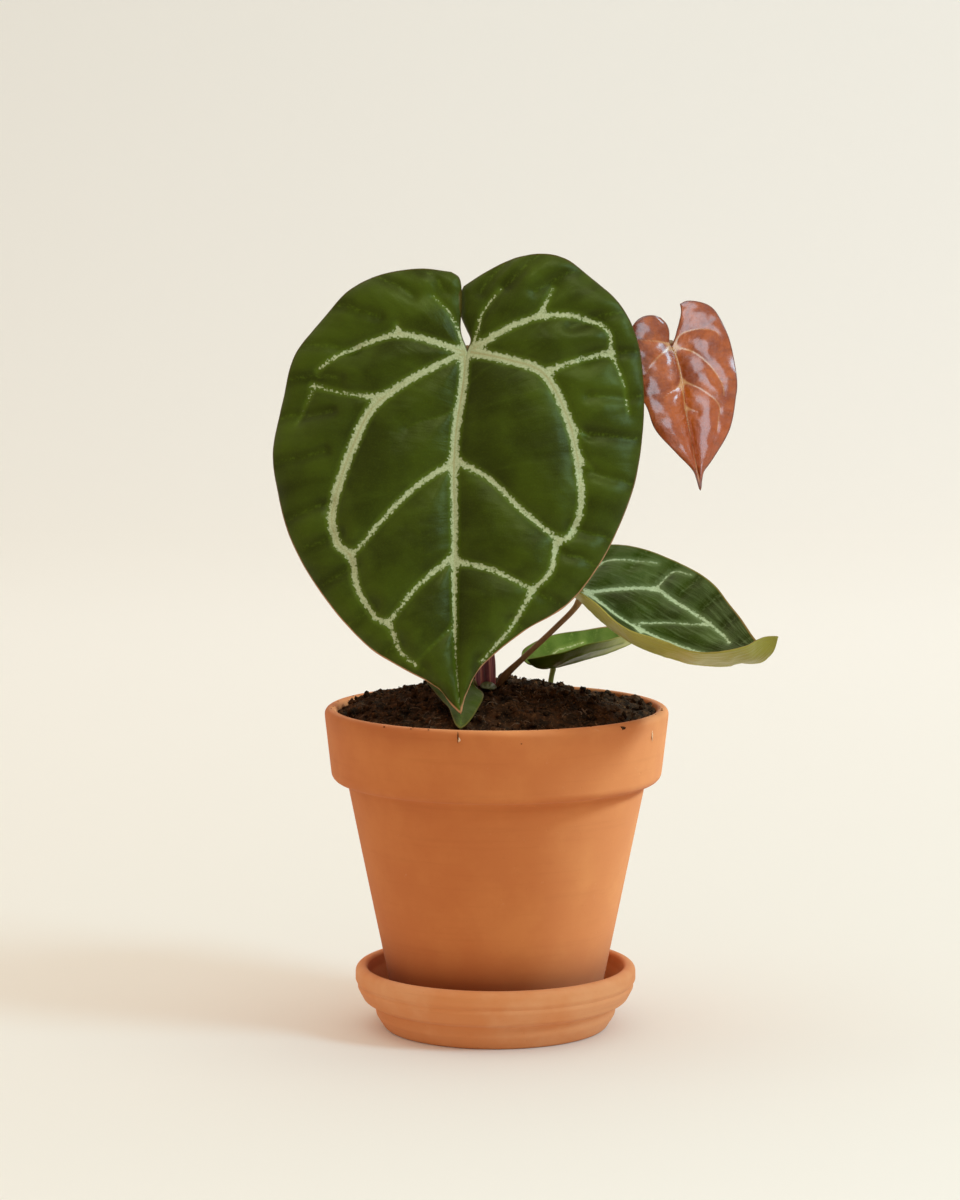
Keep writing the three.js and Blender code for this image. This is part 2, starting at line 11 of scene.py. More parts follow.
import bpy
import numpy as np
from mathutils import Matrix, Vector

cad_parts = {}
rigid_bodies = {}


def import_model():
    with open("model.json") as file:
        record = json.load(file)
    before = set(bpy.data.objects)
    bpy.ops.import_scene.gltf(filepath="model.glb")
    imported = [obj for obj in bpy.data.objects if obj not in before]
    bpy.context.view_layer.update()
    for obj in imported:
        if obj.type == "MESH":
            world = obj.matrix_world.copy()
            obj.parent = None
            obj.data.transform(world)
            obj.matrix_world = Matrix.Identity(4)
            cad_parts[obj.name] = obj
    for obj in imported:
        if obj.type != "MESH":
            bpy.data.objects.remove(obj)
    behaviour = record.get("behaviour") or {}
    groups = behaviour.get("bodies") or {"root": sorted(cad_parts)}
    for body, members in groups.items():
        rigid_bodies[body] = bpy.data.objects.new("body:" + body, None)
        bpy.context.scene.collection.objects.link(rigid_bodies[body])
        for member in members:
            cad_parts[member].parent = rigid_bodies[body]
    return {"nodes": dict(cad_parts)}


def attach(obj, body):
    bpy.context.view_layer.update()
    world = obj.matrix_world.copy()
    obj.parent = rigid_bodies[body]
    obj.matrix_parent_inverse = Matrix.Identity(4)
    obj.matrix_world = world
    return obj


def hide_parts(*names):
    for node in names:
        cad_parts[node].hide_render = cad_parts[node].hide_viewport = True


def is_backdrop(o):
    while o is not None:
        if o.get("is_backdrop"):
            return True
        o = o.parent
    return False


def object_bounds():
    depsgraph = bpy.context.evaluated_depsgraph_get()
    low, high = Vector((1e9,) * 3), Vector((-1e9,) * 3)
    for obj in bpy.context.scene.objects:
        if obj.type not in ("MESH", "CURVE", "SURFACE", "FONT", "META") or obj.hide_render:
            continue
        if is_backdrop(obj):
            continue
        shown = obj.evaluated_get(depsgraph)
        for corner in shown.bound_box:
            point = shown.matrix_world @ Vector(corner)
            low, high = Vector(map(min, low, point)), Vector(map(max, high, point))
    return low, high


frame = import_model()
cad_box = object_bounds()
MM = 0.001
print("frame:", len(frame["nodes"]), "nodes, box", [tuple(round(v, 3) for v in c) for c in cad_box])

# %% [markdown]
# ## The camera
# The camera stands 1.65 m in front of the pot, level with its tallest leaf and pitched down a
# little, so the rim shows as a flat ellipse. A long lens keeps the pot's sides nearly parallel.

# %% Camera
CAMERA_PLACE = (-0.0072, -1.65, 0.377)
CAMERA_PITCH = radians(90 - 6.55)
PICTURE_HEIGHT_PX = 1200
FOCAL_LENGTH_PX = 3830

camera_data = bpy.data.cameras.new("camera")
camera_data.sensor_width = 36
camera_data.lens = camera_data.sensor_width * FOCAL_LENGTH_PX / PICTURE_HEIGHT_PX
camera = bpy.data.objects.new("camera", camera_data)
camera.location = CAMERA_PLACE
camera.rotation_euler = (CAMERA_PITCH, 0, 0)
bpy.context.scene.collection.objects.link(camera)
bpy.context.scene.camera = camera
print("lens", round(camera_data.lens, 1), "mm")

# %% [markdown]
# ## Curves and meshes from arrays
# A leaf margin, a vein and a stalk all follow smooth lines through a few chosen points, so one
# function makes them all. Every surface is a grid of vertices worked out as whole arrays. Two
# triangles fill each square of the grid, and a fan closes each pole.

# %% A smooth curve through chosen points
CURVE_STEPS = np.linspace(0, 1, 40, endpoint=False)[:, None, None]


def curve_through(points, fractions):
    """Points at these fractions of the length of a centripetal Catmull-Rom curve.

    Between two neighbours the curve is a cubic. Its slope at a point comes from the chords on
    both sides, each divided by the square root of its length. Both ends continue straight on.
    """
    p = np.asarray(points, float)
    p = np.vstack([2 * p[0] - p[1], p, 2 * p[-1] - p[-2]])
    gap = np.sqrt(np.linalg.norm(np.diff(p, axis=0), axis=1))[:, None]
    before, start, end, after = p[:-3], p[1:-2], p[2:-1], p[3:]
    g0, g1, g2 = gap[:-2], gap[1:-1], gap[2:]
    leave = ((start - before) / g0 - (end - before) / (g0 + g1) + (end - start) / g1) * g1
    reach = ((end - start) / g1 - (after - start) / (g1 + g2) + (after - end) / g2) * g1
    t = CURVE_STEPS
    fine = (2 * t**3 - 3 * t**2 + 1) * start + (t**3 - 2 * t**2 + t) * leave
    fine = fine + (3 * t**2 - 2 * t**3) * end + (t**3 - t**2) * reach
    fine = np.vstack([fine.transpose(1, 0, 2).reshape(-1, p.shape[1]), p[-2]])
    length = np.concatenate([[0], np.cumsum(np.linalg.norm(np.diff(fine, axis=0), axis=1))])
    wanted = np.asarray(fractions) * length[-1]
    return np.stack([np.interp(wanted, length, axis) for axis in fine.T], axis=-1)


print("half way along a bend:", curve_through([(0, 0), (1, 1), (2, 0)], [0.5]).round(2))

# %% Faces of a grid, and a mesh from arrays
def round_angles(count):
    """Angles at even steps round a full turn."""
    return np.linspace(0, 2 * pi, count, endpoint=False)


def grid_faces(rows, columns, round_rows=False, round_columns=False):
    """Two triangles for each square of a grid whose vertices are counted row after row."""
    index = np.arange(rows * columns).reshape(rows, columns)
    if round_columns:
        index = np.hstack([index, index[:, :1]])
    if round_rows:
        index = np.vstack([index, index[:1]])
    a, b, c, d = index[:-1, :-1], index[:-1, 1:], index[1:, 1:], index[1:, :-1]
    return np.concatenate([np.stack([a, b, c], -1), np.stack([a, c, d], -1)]).reshape(-1, 3)


def fan(pole, ring, flip=False):
    """A triangle from the pole to each edge of a closed ring."""
    nearby, following = ring, np.roll(ring, -1)
    if flip:
        nearby, following = following, nearby
    return np.stack([np.full_like(ring, pole), nearby, following], -1)


def closed_tube(rings, sides):
    """Faces of a tube of rings. The two vertices that follow the rings are the poles of its ends."""
    first, count = np.arange(sides), rings * sides
    ends = [fan(count, first, flip=True), fan(count + 1, first + count - sides)]
    return np.vstack([grid_faces(rings, sides, round_columns=True), *ends])


def repeated(faces, count, vertices_each):
    """The same faces for each of many copies whose vertices follow one another."""
    shift = np.arange(count)[:, None, None] * vertices_each
    return (faces[None] + shift).reshape(-1, 3)


def make_piece(name, vertices, faces, finish, replaces=(), fields=None):
    """A smooth mesh of triangles on the frame's body. Fields are numbers kept at each vertex."""
    mesh = bpy.data.meshes.new(name)
    mesh.vertices.add(len(vertices))
    mesh.vertices.foreach_set("co", (np.asarray(vertices) * MM).ravel())
    mesh.loops.add(faces.size)
    mesh.loops.foreach_set("vertex_index", faces.astype(np.int32).ravel())
    mesh.polygons.add(len(faces))
    mesh.polygons.foreach_set("loop_start", np.arange(0, faces.size, 3, dtype=np.int32))
    mesh.update(calc_edges=True)
    mesh.polygons.foreach_set("use_smooth", np.ones(len(faces), bool))
    for field, values in (fields or {}).items():
        layer = mesh.attributes.new(field, "FLOAT", "POINT")
        layer.data.foreach_set("value", np.asarray(values, np.float32).ravel())
    mesh.materials.append(finish)
    piece = bpy.data.objects.new(name, mesh)
    bpy.context.scene.collection.objects.link(piece)
    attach(piece, "root")
    if replaces:
        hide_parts(*replaces)
    print(f"{name}: {len(vertices)} vertices, {len(faces)} triangles")
    return piece


# %% [markdown]
# ## Writing finishes as small recipes
# Each finish is a node material. A recipe reads like a sentence when every node is one short
# call, so a helper holds the tree and gives back the output of each node that it adds. Patterns
# read object coordinates in metres, or numbers kept on the mesh where they follow a leaf. The
# room's light is a tree of nodes too, and uses the same calls.

# %% The recipe helper
def colour(code):
    """A hex colour, as seen on a screen, turned into the linear values that light works with."""
    seen = np.array([int(code[k : k + 2], 16) / 255 for k in (0, 2, 4)])
    linear = np.where(seen <= 0.04045, seen / 12.92, ((seen + 0.055) / 1.055) ** 2.4)
    return (*linear, 1)


class Recipe:
    """A node tree that is built up one node at a time."""

    def __init__(self, tree):
        """The tree's own lists of nodes and of links."""
        self.nodes, self.links = tree.nodes, tree.links

    def node(self, kind, inputs, output=0, **settings):
        """A new node of this kind with its settings and inputs. It gives back one of its outputs."""
        node = self.nodes.new("ShaderNode" + kind)
        for key, value in settings.items():
            setattr(node, key, value)
        for key, value in inputs.items():
            self.set(node.inputs[key], value)
        return node.outputs[output]

    def set(self, socket, value):
        """Link a socket to another node's output, or give it a plain value."""
        if isinstance(value, bpy.types.NodeSocket):
            self.links.new(value, socket)
        else:
            socket.default_value = value

    def math(self, operation, a, b, c=0.0):
        """One sum on two or three numbers, such as a * b + c."""
        return self.node("Math", {0: a, 1: b, 2: c}, operation=operation)

    def times(self, a, b):
        """a * b."""
        return self.math("MULTIPLY", a, b)


class Finish(Recipe):
    """A material. Even values, such as the roughness, are set on the shader by name."""

    def __init__(self, name, **shader):
        """A new material, whose shader gets these values."""
        self.material = bpy.data.materials.new(name)
        self.material.use_nodes = True
        super().__init__(self.material.node_tree)
        self.finish(**shader)

    def finish(self, **sockets):
        """Set or link the shader's inputs by name, and give back the material."""
        shader = self.nodes["Principled BSDF"]
        for socket, value in sockets.items():
            self.set(shader.inputs[socket.replace("_", " ")], value)
        return self.material

    def place(self, stretch=(1, 1, 1)):
        """Object coordinates, stretched along X, Y and Z."""
        where = self.node("TexCoord", {}, "Object")
        return self.node("Mapping", {"Vector": where, "Scale": stretch})

    def part(self, axis):
        """One of the object coordinates, in metres."""
        return self.node("SeparateXYZ", {"Vector": self.place()}, axis)

    def noise(self, size_mm, detail=2, roughness=0.5, stretch=(1, 1, 1)):
        """Soft random patches of about this size, between 0 and 1."""
        inputs = {"Vector": self.place(stretch), "Scale": 1 / (size_mm * MM)}
        return self.node("TexNoise", inputs | {"Detail": detail, "Roughness": roughness})

    def field(self, name):
        """A number kept at each vertex of the mesh."""
        return self.node("Attribute", {}, "Fac", attribute_name=name)

    def streaks(self, fine_mm, long_mm):
        """Noise that follows a leaf: fine along its margin and long from midrib to margin."""
        down = self.math("DIVIDE", self.field("down"), fine_mm)
        out = self.math("DIVIDE", self.field("out"), long_mm)
        where = self.node("CombineXYZ", {"X": down, "Y": out})
        return self.node("TexNoise", {"Vector": where, "Scale": 1.0, "Detail": 3})

    def ease(self, value, low, high):
        """0 below low, 1 above high and a smooth rise between them."""
        inputs = {"Value": value, "From Min": low, "From Max": high}
        return self.node("MapRange", inputs, interpolation_type="SMOOTHSTEP")

    def mix(self, amount, a, b):
        """Colour a where the amount is 0 and colour b where it is 1."""
        return self.node("Mix", {0: amount, 6: a, 7: b}, 2, data_type="RGBA")

    def tint(self, tone, code, amount, strength=1.0):
        """The tone with a colour laid over it, as far as the amount times the strength."""
        return self.mix(self.times(amount, strength), tone, colour(code))

    def bump(self, height, depth_mm, strength=1.0, under=None):
        """A relief this deep. A relief under it shows through."""
        inputs = {"Height": height, "Distance": depth_mm * MM, "Strength": strength}
        return self.node("Bump", inputs | ({"Normal": under} if under else {}))


# %% [markdown]
# ## Unglazed clay
# The pot and saucer are common red clay, turned and fired without glaze. It is matt and
# powdery, a little uneven in colour, with faint turning lines, fine grit and small pits. The
# pot's foot is darker, partly wet from the saucer and partly painted shade where the saucer's
# wall shades it, and the collar is a little darker in patches towards its top. The colour could
# be painted, but patches of noise at several sizes give the same look from all sides. The turning
# lines are noise that is stretched around the pot and thin along its height.

# %% Clay finish
LIME_BLOOM, DAMP_AND_SHADED_CLAY, DARKER_TOP_COLOUR = "d8a27a", "863c16", "8e4018"
DAMP_AND_SHADE_RISE, DARKER_TOP_FROM, DARKER_TOP_TO = 30, 128, 140


def clay_finish(name, body, pale, deep, damp_and_shade_top=0.0):
    """Clay with painted shade on its wet foot, fading out over the 30 mm below the given top."""
    clay = Finish(
        name, Roughness=0.82, Specular_IOR_Level=0.3, Sheen_Weight=0.03, Sheen_Roughness=0.5
    )
    cloud = clay.noise(34, detail=4, roughness=0.6)
    grain = clay.noise(1.1, detail=3, roughness=0.7)
    turning = clay.noise(2.6, detail=3, roughness=0.6, stretch=(0.05, 0.05, 1.0))
    bloom = clay.noise(5, detail=5, roughness=0.7)
    level = clay.part("Z")
    tone = clay.mix(clay.ease(cloud, 0.38, 0.68), colour(body), colour(pale))
    tone = clay.tint(tone, deep, clay.ease(turning, 0.5, 0.75), 0.12)
    tone = clay.tint(tone, deep, clay.ease(grain, 0.62, 0.78), 0.3)
    tone = clay.tint(tone, LIME_BLOOM, clay.ease(bloom, 0.64, 0.8), 0.3)
    # Darker foot: wet clay, and painted shade where the saucer's wall shades it.
    damp_and_shade = clay.ease(level, damp_and_shade_top * MM, (damp_and_shade_top - DAMP_AND_SHADE_RISE) * MM)
    tone = clay.tint(tone, DAMP_AND_SHADED_CLAY, damp_and_shade, 0.75)
    # Darker in patches towards the top of the collar.
    smear = clay.ease(clay.noise(26, detail=3), 0.2, 0.7)
    darker_top = clay.times(smear, clay.ease(level, DARKER_TOP_FROM * MM, DARKER_TOP_TO * MM))
    tone = clay.tint(tone, DARKER_TOP_COLOUR, darker_top, 0.3)
    pits = clay.ease(clay.noise(2.2, detail=1), 0.72, 0.8)
    relief = clay.math("SUBTRACT", clay.times(grain, 0.35), pits)
    lines = clay.bump(turning, 0.1, strength=0.3)
    return clay.finish(Base_Color=tone, Normal=clay.bump(relief, 0.1, 0.5, under=lines))


pot_clay = clay_finish("pot_clay", "c46f38", "cb783e", "a85827", damp_and_shade_top=50)
saucer_clay = clay_finish("saucer_clay", "d98a53", "df9a68", "b5683a")
print("clay finishes:", pot_clay.name, saucer_clay.name)

# %% [markdown]
# ## Pot and saucer
# Both are bodies of revolution, so each is an outline of straight runs with rounded corners,
# carried round the axis. An outline of corners and radii is how a potter's drawing gives it,
# and the arcs come from a formula. A slow wobble of a tenth of a millimetre or two keeps the
# edges from looking machined.

# %% Rounded outlines
def rounded(corners, closed, arc_steps=8, longest=2.5):
    """An outline whose corners are arcs: each corner is (radius from the axis, height, fillet).

    The arc touches both runs at fillet / tan(half the corner's angle) from the corner. Its centre
    lies on the corner's bisector, at fillet / sin(half the angle). Long runs are then divided.
    """
    corners = np.asarray(corners, float)
    p, fillet = corners[:, :2], corners[:, 2:]
    back = np.roll(p, 1, axis=0) - p
    ahead = np.roll(p, -1, axis=0) - p
    back /= np.linalg.norm(back, axis=1, keepdims=True)
    ahead /= np.linalg.norm(ahead, axis=1, keepdims=True)
    half = np.arccos(np.clip((back * ahead).sum(1, keepdims=True), -1, 1)) / 2
    half = np.clip(half, 0.01, pi / 2 - 0.01)
    bisector = back + ahead
    bisector /= np.maximum(np.linalg.norm(bisector, axis=1, keepdims=True), 1e-9)
    centre = p + bisector * fillet / np.sin(half)
    start = p + back * fillet / np.tan(half) - centre
    end = p + ahead * fillet / np.tan(half) - centre
    t = np.linspace(0, 1, arc_steps + 1)[:, None, None]
    swing = pi - 2 * half
    arc = centre + (np.sin((1 - t) * swing) * start + np.sin(t * swing) * end) / np.sin(swing)
    if not closed:
        arc[:, [0, -1]] = p[[0, -1]]
    line = arc.transpose(1, 0, 2).reshape(-1, 2)
    if closed:
        line = np.vstack([line, line[:1]])
    length = np.concatenate([[0], np.cumsum(np.linalg.norm(np.diff(line, axis=0), axis=1))])
    stations = np.union1d(length, np.arange(0, length[-1], longest))
    stations = stations[np.concatenate([[True], np.diff(stations) > 0.05])]
    line = np.stack([np.interp(stations, length, axis) for axis in line.T], -1)
    return line[:-1] if closed else line


# %% Bodies of revolution
TURNED_SIDES = 256


def turned(outline, closed, wobble, centre=(0, 0)):
    """A surface of revolution: x = r cos a, y = r sin a, z = height.

    The radius r is the outline's, plus a wobble of two and three waves round the pot that drifts
    with height. An open outline runs from the axis to the axis and gets a pole at each end.
    """
    line = outline if closed else outline[1:-1]
    angle = round_angles(TURNED_SIDES)
    radius, height = line[:, :1], line[:, 1:]
    drift = height / 40
    waves = np.sin(2 * angle + drift) + 0.6 * np.sin(3 * angle - 1.3 * drift + 1)
    r = radius + wobble * waves * np.minimum(radius / 20, 1)
    x = centre[0] + r * np.cos(angle)
    y = centre[1] + r * np.sin(angle)
    grid = np.stack([x, y, np.broadcast_to(height, r.shape)], -1).reshape(-1, 3)
    if closed:
        return grid, grid_faces(len(line), TURNED_SIDES, round_rows=True, round_columns=True)
    poles = [(*centre, outline[0, 1]), (*centre, outline[-1, 1])]
    return np.vstack([grid, poles]), closed_tube(len(line), TURNED_SIDES)


# %% Pot
POT_FOOT, POT_TOP = 6.3, 141.0
pot_corners = [
    (7, POT_FOOT, 0.6),
    (44, POT_FOOT, 1.3),
    (64.9, 108.6, 2.4),
    (71.5, 109.6, 4.2),
    (72.6, 119, 9),
    (74.7, 137, 6),
    (74.9, POT_TOP, 2.7),
    (69.5, POT_TOP, 2.3),
    (68.4, 126, 6),
    (61, 104, 8),
    (38.4, 13, 4),
    (7, 13, 0.8),
]
vertices, faces = turned(rounded(pot_corners, closed=True), closed=True, wobble=0.12)
make_piece("pot_body", vertices, faces, pot_clay, ["pot"])

# %% Saucer
saucer_corners = [
    (0, 0, 0),
    (48.6, 0, 2.4),
    (52.4, 6, 5),
    (52.9, 10.4, 1.2),
    (57.6, 12.4, 3.5),
    (60.5, 18, 2.4),
    (60.1, 19.3, 0.5),
    (61.3, 21, 2.2),
    (61.2, 27.4, 3),
    (56.2, 27.4, 1.8),
    (55.5, 22, 5),
    (49.4, 6, 3.5),
    (0, 6, 0),
]
vertices, faces = turned(
    rounded(saucer_corners, closed=False), closed=False, wobble=0.1, centre=(-0.4, 0)
)
make_piece("saucer_dish", vertices, faces, saucer_clay, ["saucer"])

# %% [markdown]
# ## Potting mix
# The soil is dark, loose and crumbly, heaped a little towards the crown. A bumpy texture on a
# flat disc would give itself away along the skyline behind the rim, so the crust is a real
# relief on a polar grid, with hundreds of separate crumbs and thin root fibres on top.

# %% Smooth random heights
def lattice_noise(x, y, size, seed):
    """Random heights, 0 to 1: random values on a square lattice, blended by a smooth step."""
    lattice = np.random.default_rng(seed).random((64, 64))
    gx, gy = x / size + 31, y / size + 17
    ix, iy = np.floor(gx).astype(int), np.floor(gy).astype(int)
    fx, fy = gx - ix, gy - iy
    fx, fy = fx * fx * (3 - 2 * fx), fy * fy * (3 - 2 * fy)
    left, right, low, high = ix % 64, (ix + 1) % 64, iy % 64, (iy + 1) % 64
    near = lattice[left, low] * (1 - fx) + lattice[right, low] * fx
    far = lattice[left, high] * (1 - fx) + lattice[right, high] * fx
    return near * (1 - fy) + far * fy


SOIL_MIDDLE, SOIL_EDGE, SOIL_REACH = 149.5, 138.3, 69.0
# x, y, rise and spread of each mound, or of each dip where the rise is negative
SOIL_MOUNDS = [
    (18, 14, 2.2, 14),
    (-58, 34, 2.4, 7),
    (-43, 54, -11.0, 8),
    (-30, 58, 2.6, 6),
    (-4, -17, -2.0, 9),
    (38, 55, -9.5, 17),
    (34, 24, -3.0, 19),
    (62, 24, 2.2, 7),
    (30, 60, 1.0, 6),
]
# size, depth and seed of each layer of clods
CLODS = [(11, 2.4, 3), (5, 1.7, 5), (2.3, 1.1, 8), (1.1, 0.5, 13)]


def soil_height(x, y):
    """A low dome, plus rise * exp(-(distance / spread) squared) for each mound, plus the clods.

    Each layer of clods adds its depth times a noise that is folded, 1 - |2 n - 1|, less 0.6, so
    the clods are rounded below and have sharp crests.
    """
    reach = np.hypot(x, y) / SOIL_REACH
    height = SOIL_EDGE + (SOIL_MIDDLE - SOIL_EDGE) * (1 - reach**2.4)
    for mound_x, mound_y, rise, spread in SOIL_MOUNDS:
        height = height + rise * np.exp(-((x - mound_x) ** 2 + (y - mound_y) ** 2) / spread**2)
    for size, depth, seed in CLODS:
        clod = 1 - np.abs(2 * lattice_noise(x, y, size, seed) - 1)
        height = height + depth * (clod - 0.6)
    return height


# %% Soil bed
SOIL_RINGS, SOIL_SIDES, SOIL_FLOOR = 150, 440, 13.4
# radius and height of the rings along the pot's inner wall
SOIL_WALL = np.array([(34.8, SOIL_FLOOR), (38.0, 15.8), (60.6, 104.2), (68.0, 126.0)])


def soil_bed():
    """Height over a disc on rings of vertices, joined to the inner wall and a flat floor."""
    radius = SOIL_REACH * np.linspace(1, 0, SOIL_RINGS, endpoint=False)[:, None]
    angle = round_angles(SOIL_SIDES)
    x, y = radius * np.cos(angle), radius * np.sin(angle)
    crust = np.stack([x, y, soil_height(x, y)], -1)
    wall_radius, wall_height = SOIL_WALL[:, :1], SOIL_WALL[:, 1:]
    wall = [wall_radius * np.cos(angle), wall_radius * np.sin(angle), wall_height + 0 * angle]
    rings = np.concatenate([np.stack(wall, -1), crust])
    top = soil_height(np.zeros(1), np.zeros(1))[0]
    poles = [(0, 0, SOIL_FLOOR), (0, 0, top)]
    return np.vstack([rings.reshape(-1, 3), poles]), closed_tube(len(rings), SOIL_SIDES)


def soil_finish():
    """Nearly black clods, brown grains and patches of rusty fibre. It has almost no shine."""
    soil = Finish("potting_mix", Roughness=1.0, Specular_IOR_Level=0.08)
    clods = soil.ease(soil.noise(6, detail=4, roughness=0.6), 0.35, 0.7)
    grains = soil.noise(1.3, detail=4, roughness=0.7)
    tone = soil.mix(clods, colour("1c1006"), colour("432612"))
    tone = soil.tint(tone, "6c4528", soil.ease(grains, 0.54, 0.72))
    tone = soil.tint(tone, "6b3a1c", soil.ease(soil.noise(3.1, detail=2), 0.68, 0.76), 0.6)
    return soil.finish(Base_Color=tone, Normal=soil.bump(grains, 0.5, 0.9))


potting_mix = soil_finish()
vertices, faces = soil_bed()
make_piece("soil_bed", vertices, faces, potting_mix, ["soil"])

# %% Crumbs of the mix, and a few on the rim
def lump_shapes(count, seed, belts=5, sides=8):
    """Closed lumps of unit size: a sphere of belts whose radius is random at every vertex."""
    rng = np.random.default_rng(seed)
    polar = np.linspace(0, pi, belts + 2)[1:-1, None]
    turn = round_angles(sides)
    belt = [np.sin(polar) * np.cos(turn), np.sin(polar) * np.sin(turn), np.cos(polar) + 0 * turn]
    ball = np.vstack([np.stack(belt, -1).reshape(-1, 3), [(0, 0, 1), (0, 0, -1)]])
    lumps = ball * rng.uniform(0.45, 1.3, (count, len(ball), 1))
    lumps = lumps * rng.uniform(0.55, 1.2, (count, 1, 3))
    return lumps, closed_tube(belts, sides)[:, ::-1]


def spread_lumps(places, sizes, seed):
    """Lumps scaled to their sizes and moved to their places, as one mesh."""
    lumps, faces = lump_shapes(len(places), seed)
    grid = lumps * sizes.reshape(len(places), 1, -1) + places[:, None]
    return grid.reshape(-1, 3), repeated(faces, len(places), lumps.shape[1])


def crumb_places(count, seed):
    """Random places on the soil, evenly spread over the disc, a third of a lump sunk in."""
    rng = np.random.default_rng(seed)
    radius = (SOIL_REACH - 1.2) * np.sqrt(rng.random(count))
    angle = rng.uniform(0, 2 * pi, count)
    size = 0.4 + 1.7 * rng.random(count) ** 4
    x, y = radius * np.cos(angle), radius * np.sin(angle)
    return np.stack([x, y, soil_height(x, y) + 0.3 * size], -1), size


places, sizes = crumb_places(1250, seed=21)
vertices, faces = spread_lumps(places, sizes, seed=22)
make_piece("soil_crumbs", vertices, faces, potting_mix)


def rim_crumb_places(count, seed):
    """Grains left on the rounded top of the rim, thickest by the soil."""
    rng = np.random.default_rng(seed)
    inward = rng.random(count) ** 2
    radius = 69.9 + 2.6 * inward
    height = POT_TOP - 1.2 * (1 - inward) ** 2
    angle = rng.uniform(0, 2 * pi, count)
    size = 0.18 + 0.4 * rng.random(count) ** 2
    return np.stack([radius * np.cos(angle), radius * np.sin(angle), height], -1), size


places, sizes = rim_crumb_places(140, seed=31)
vertices, faces = spread_lumps(places, sizes, seed=32)
make_piece("rim_crumbs", vertices, faces, potting_mix)

# %% [markdown]
# ## Marks on the collar
# A pot that has been filled by hand has crumbs stuck under its rim, a small crack and a chip or
# two. They could be painted into the clay's colour, but each sits in one place, so a small lump
# that stands a fraction of a millimetre out of the clay is simpler and shows from every side.

# %% Marks on the collar
# x, height, distance from the axis, and the mark's half width, depth and half height
DARK_MARKS = [
    (-47.5, 140.4, 73.9, 0.9, 0.5, 0.3),
    (-36.1, 140.7, 73.7, 0.5, 0.4, 0.25),
    (-28.7, 140.8, 73.7, 0.5, 0.4, 0.25),
    (-16.4, 138.2, 74.8, 0.26, 0.2, 3.3),
    (10.1, 135.8, 74.7, 0.3, 0.15, 0.3),
    (52.4, 139.2, 74.5, 1.5, 0.5, 1.5),
]
PALE_MARKS = [(-15.9, 137.4, 74.8, 0.8, 0.4, 0.8), (66.2, 133.1, 74.6, 0.4, 0.3, 2.6)]


def collar_marks(marks):
    """Where a mark sits on the front of the collar: y is minus the root of r squared - x squared."""
    x, height, reach, *size = np.array(marks).T
    return np.stack([x, -np.sqrt(reach**2 - x**2), height], -1), np.stack(size, -1)


pale_dust = Finish("pale_dust", Roughness=0.9).finish(Base_Color=colour("e2b48c"))
MARKS = {"collar_specks": (DARK_MARKS, potting_mix), "collar_chips": (PALE_MARKS, pale_dust)}
for name, (marks, mark_finish) in MARKS.items():
    vertices, faces = spread_lumps(*collar_marks(marks), seed=33)
    make_piece(name, vertices, faces, mark_finish)


# %% Root fibres
def fibre_mesh(count, seed, steps=7, sides=5):
    """Thin bent tubes lying on the soil: each runs along an arc whose heading turns steadily."""
    rng = np.random.default_rng(seed)
    t = np.linspace(0, 1, steps)
    radius = (SOIL_REACH - 6) * np.sqrt(rng.random(count))[:, None]
    angle = rng.uniform(0, 2 * pi, count)[:, None]
    heading = rng.uniform(0, 2 * pi, count)[:, None] + t * rng.uniform(-2, 2, count)[:, None]
    length = rng.uniform(2.5, 9, count)[:, None]
    x = radius * np.cos(angle) + np.cumsum(np.cos(heading), 1) * length / steps
    y = radius * np.sin(angle) + np.cumsum(np.sin(heading), 1) * length / steps
    z = soil_height(x, y) + 0.25 + rng.random(count)[:, None] * 1.2 * np.sin(pi * t)
    thick = (0.1 + 0.16 * rng.random(count))[:, None, None] * (1 - 0.6 * t**4)[:, None]
    turn = round_angles(sides)
    side = np.stack([-np.sin(heading), np.cos(heading), 0 * heading], -1)[:, :, None]
    ring = side * np.cos(turn)[:, None] + np.array([0, 0, 1]) * np.sin(turn)[:, None]
    centre = np.stack([x, y, z], -1)
    grid = centre[:, :, None] + ring * thick[..., None]
    grid = np.concatenate([grid.reshape(count, -1, 3), centre[:, [0, -1]]], 1)
    return grid.reshape(-1, 3), repeated(closed_tube(steps, sides), count, grid.shape[1])


fibre = Finish("root_fibre", Roughness=0.8)
root_fibre = fibre.finish(
    Base_Color=fibre.mix(fibre.noise(4), colour("3c2614"), colour("6e4a2a"))
)
vertices, faces = fibre_mesh(80, seed=41)
make_piece("soil_fibres", vertices, faces, root_fibre)

# %% [markdown]
# ## Leaf blades
# A blade could be sculpted, but a leaf is drawn more surely in its own flat frame: how far across,
# how far along, and how much lifted. Each half is a sheet of rulings from the midrib to the
# margin. The first ruling bends to the edge of the sinus, the notch above the stalk, and the
# rulings arch and wave as they go out. The frame's own blades are made in the same way, so the
# finer sheets stay in their place.

# %% Sheet of one leaf half
RULING_START, BOW_FADE = 1.6, 5


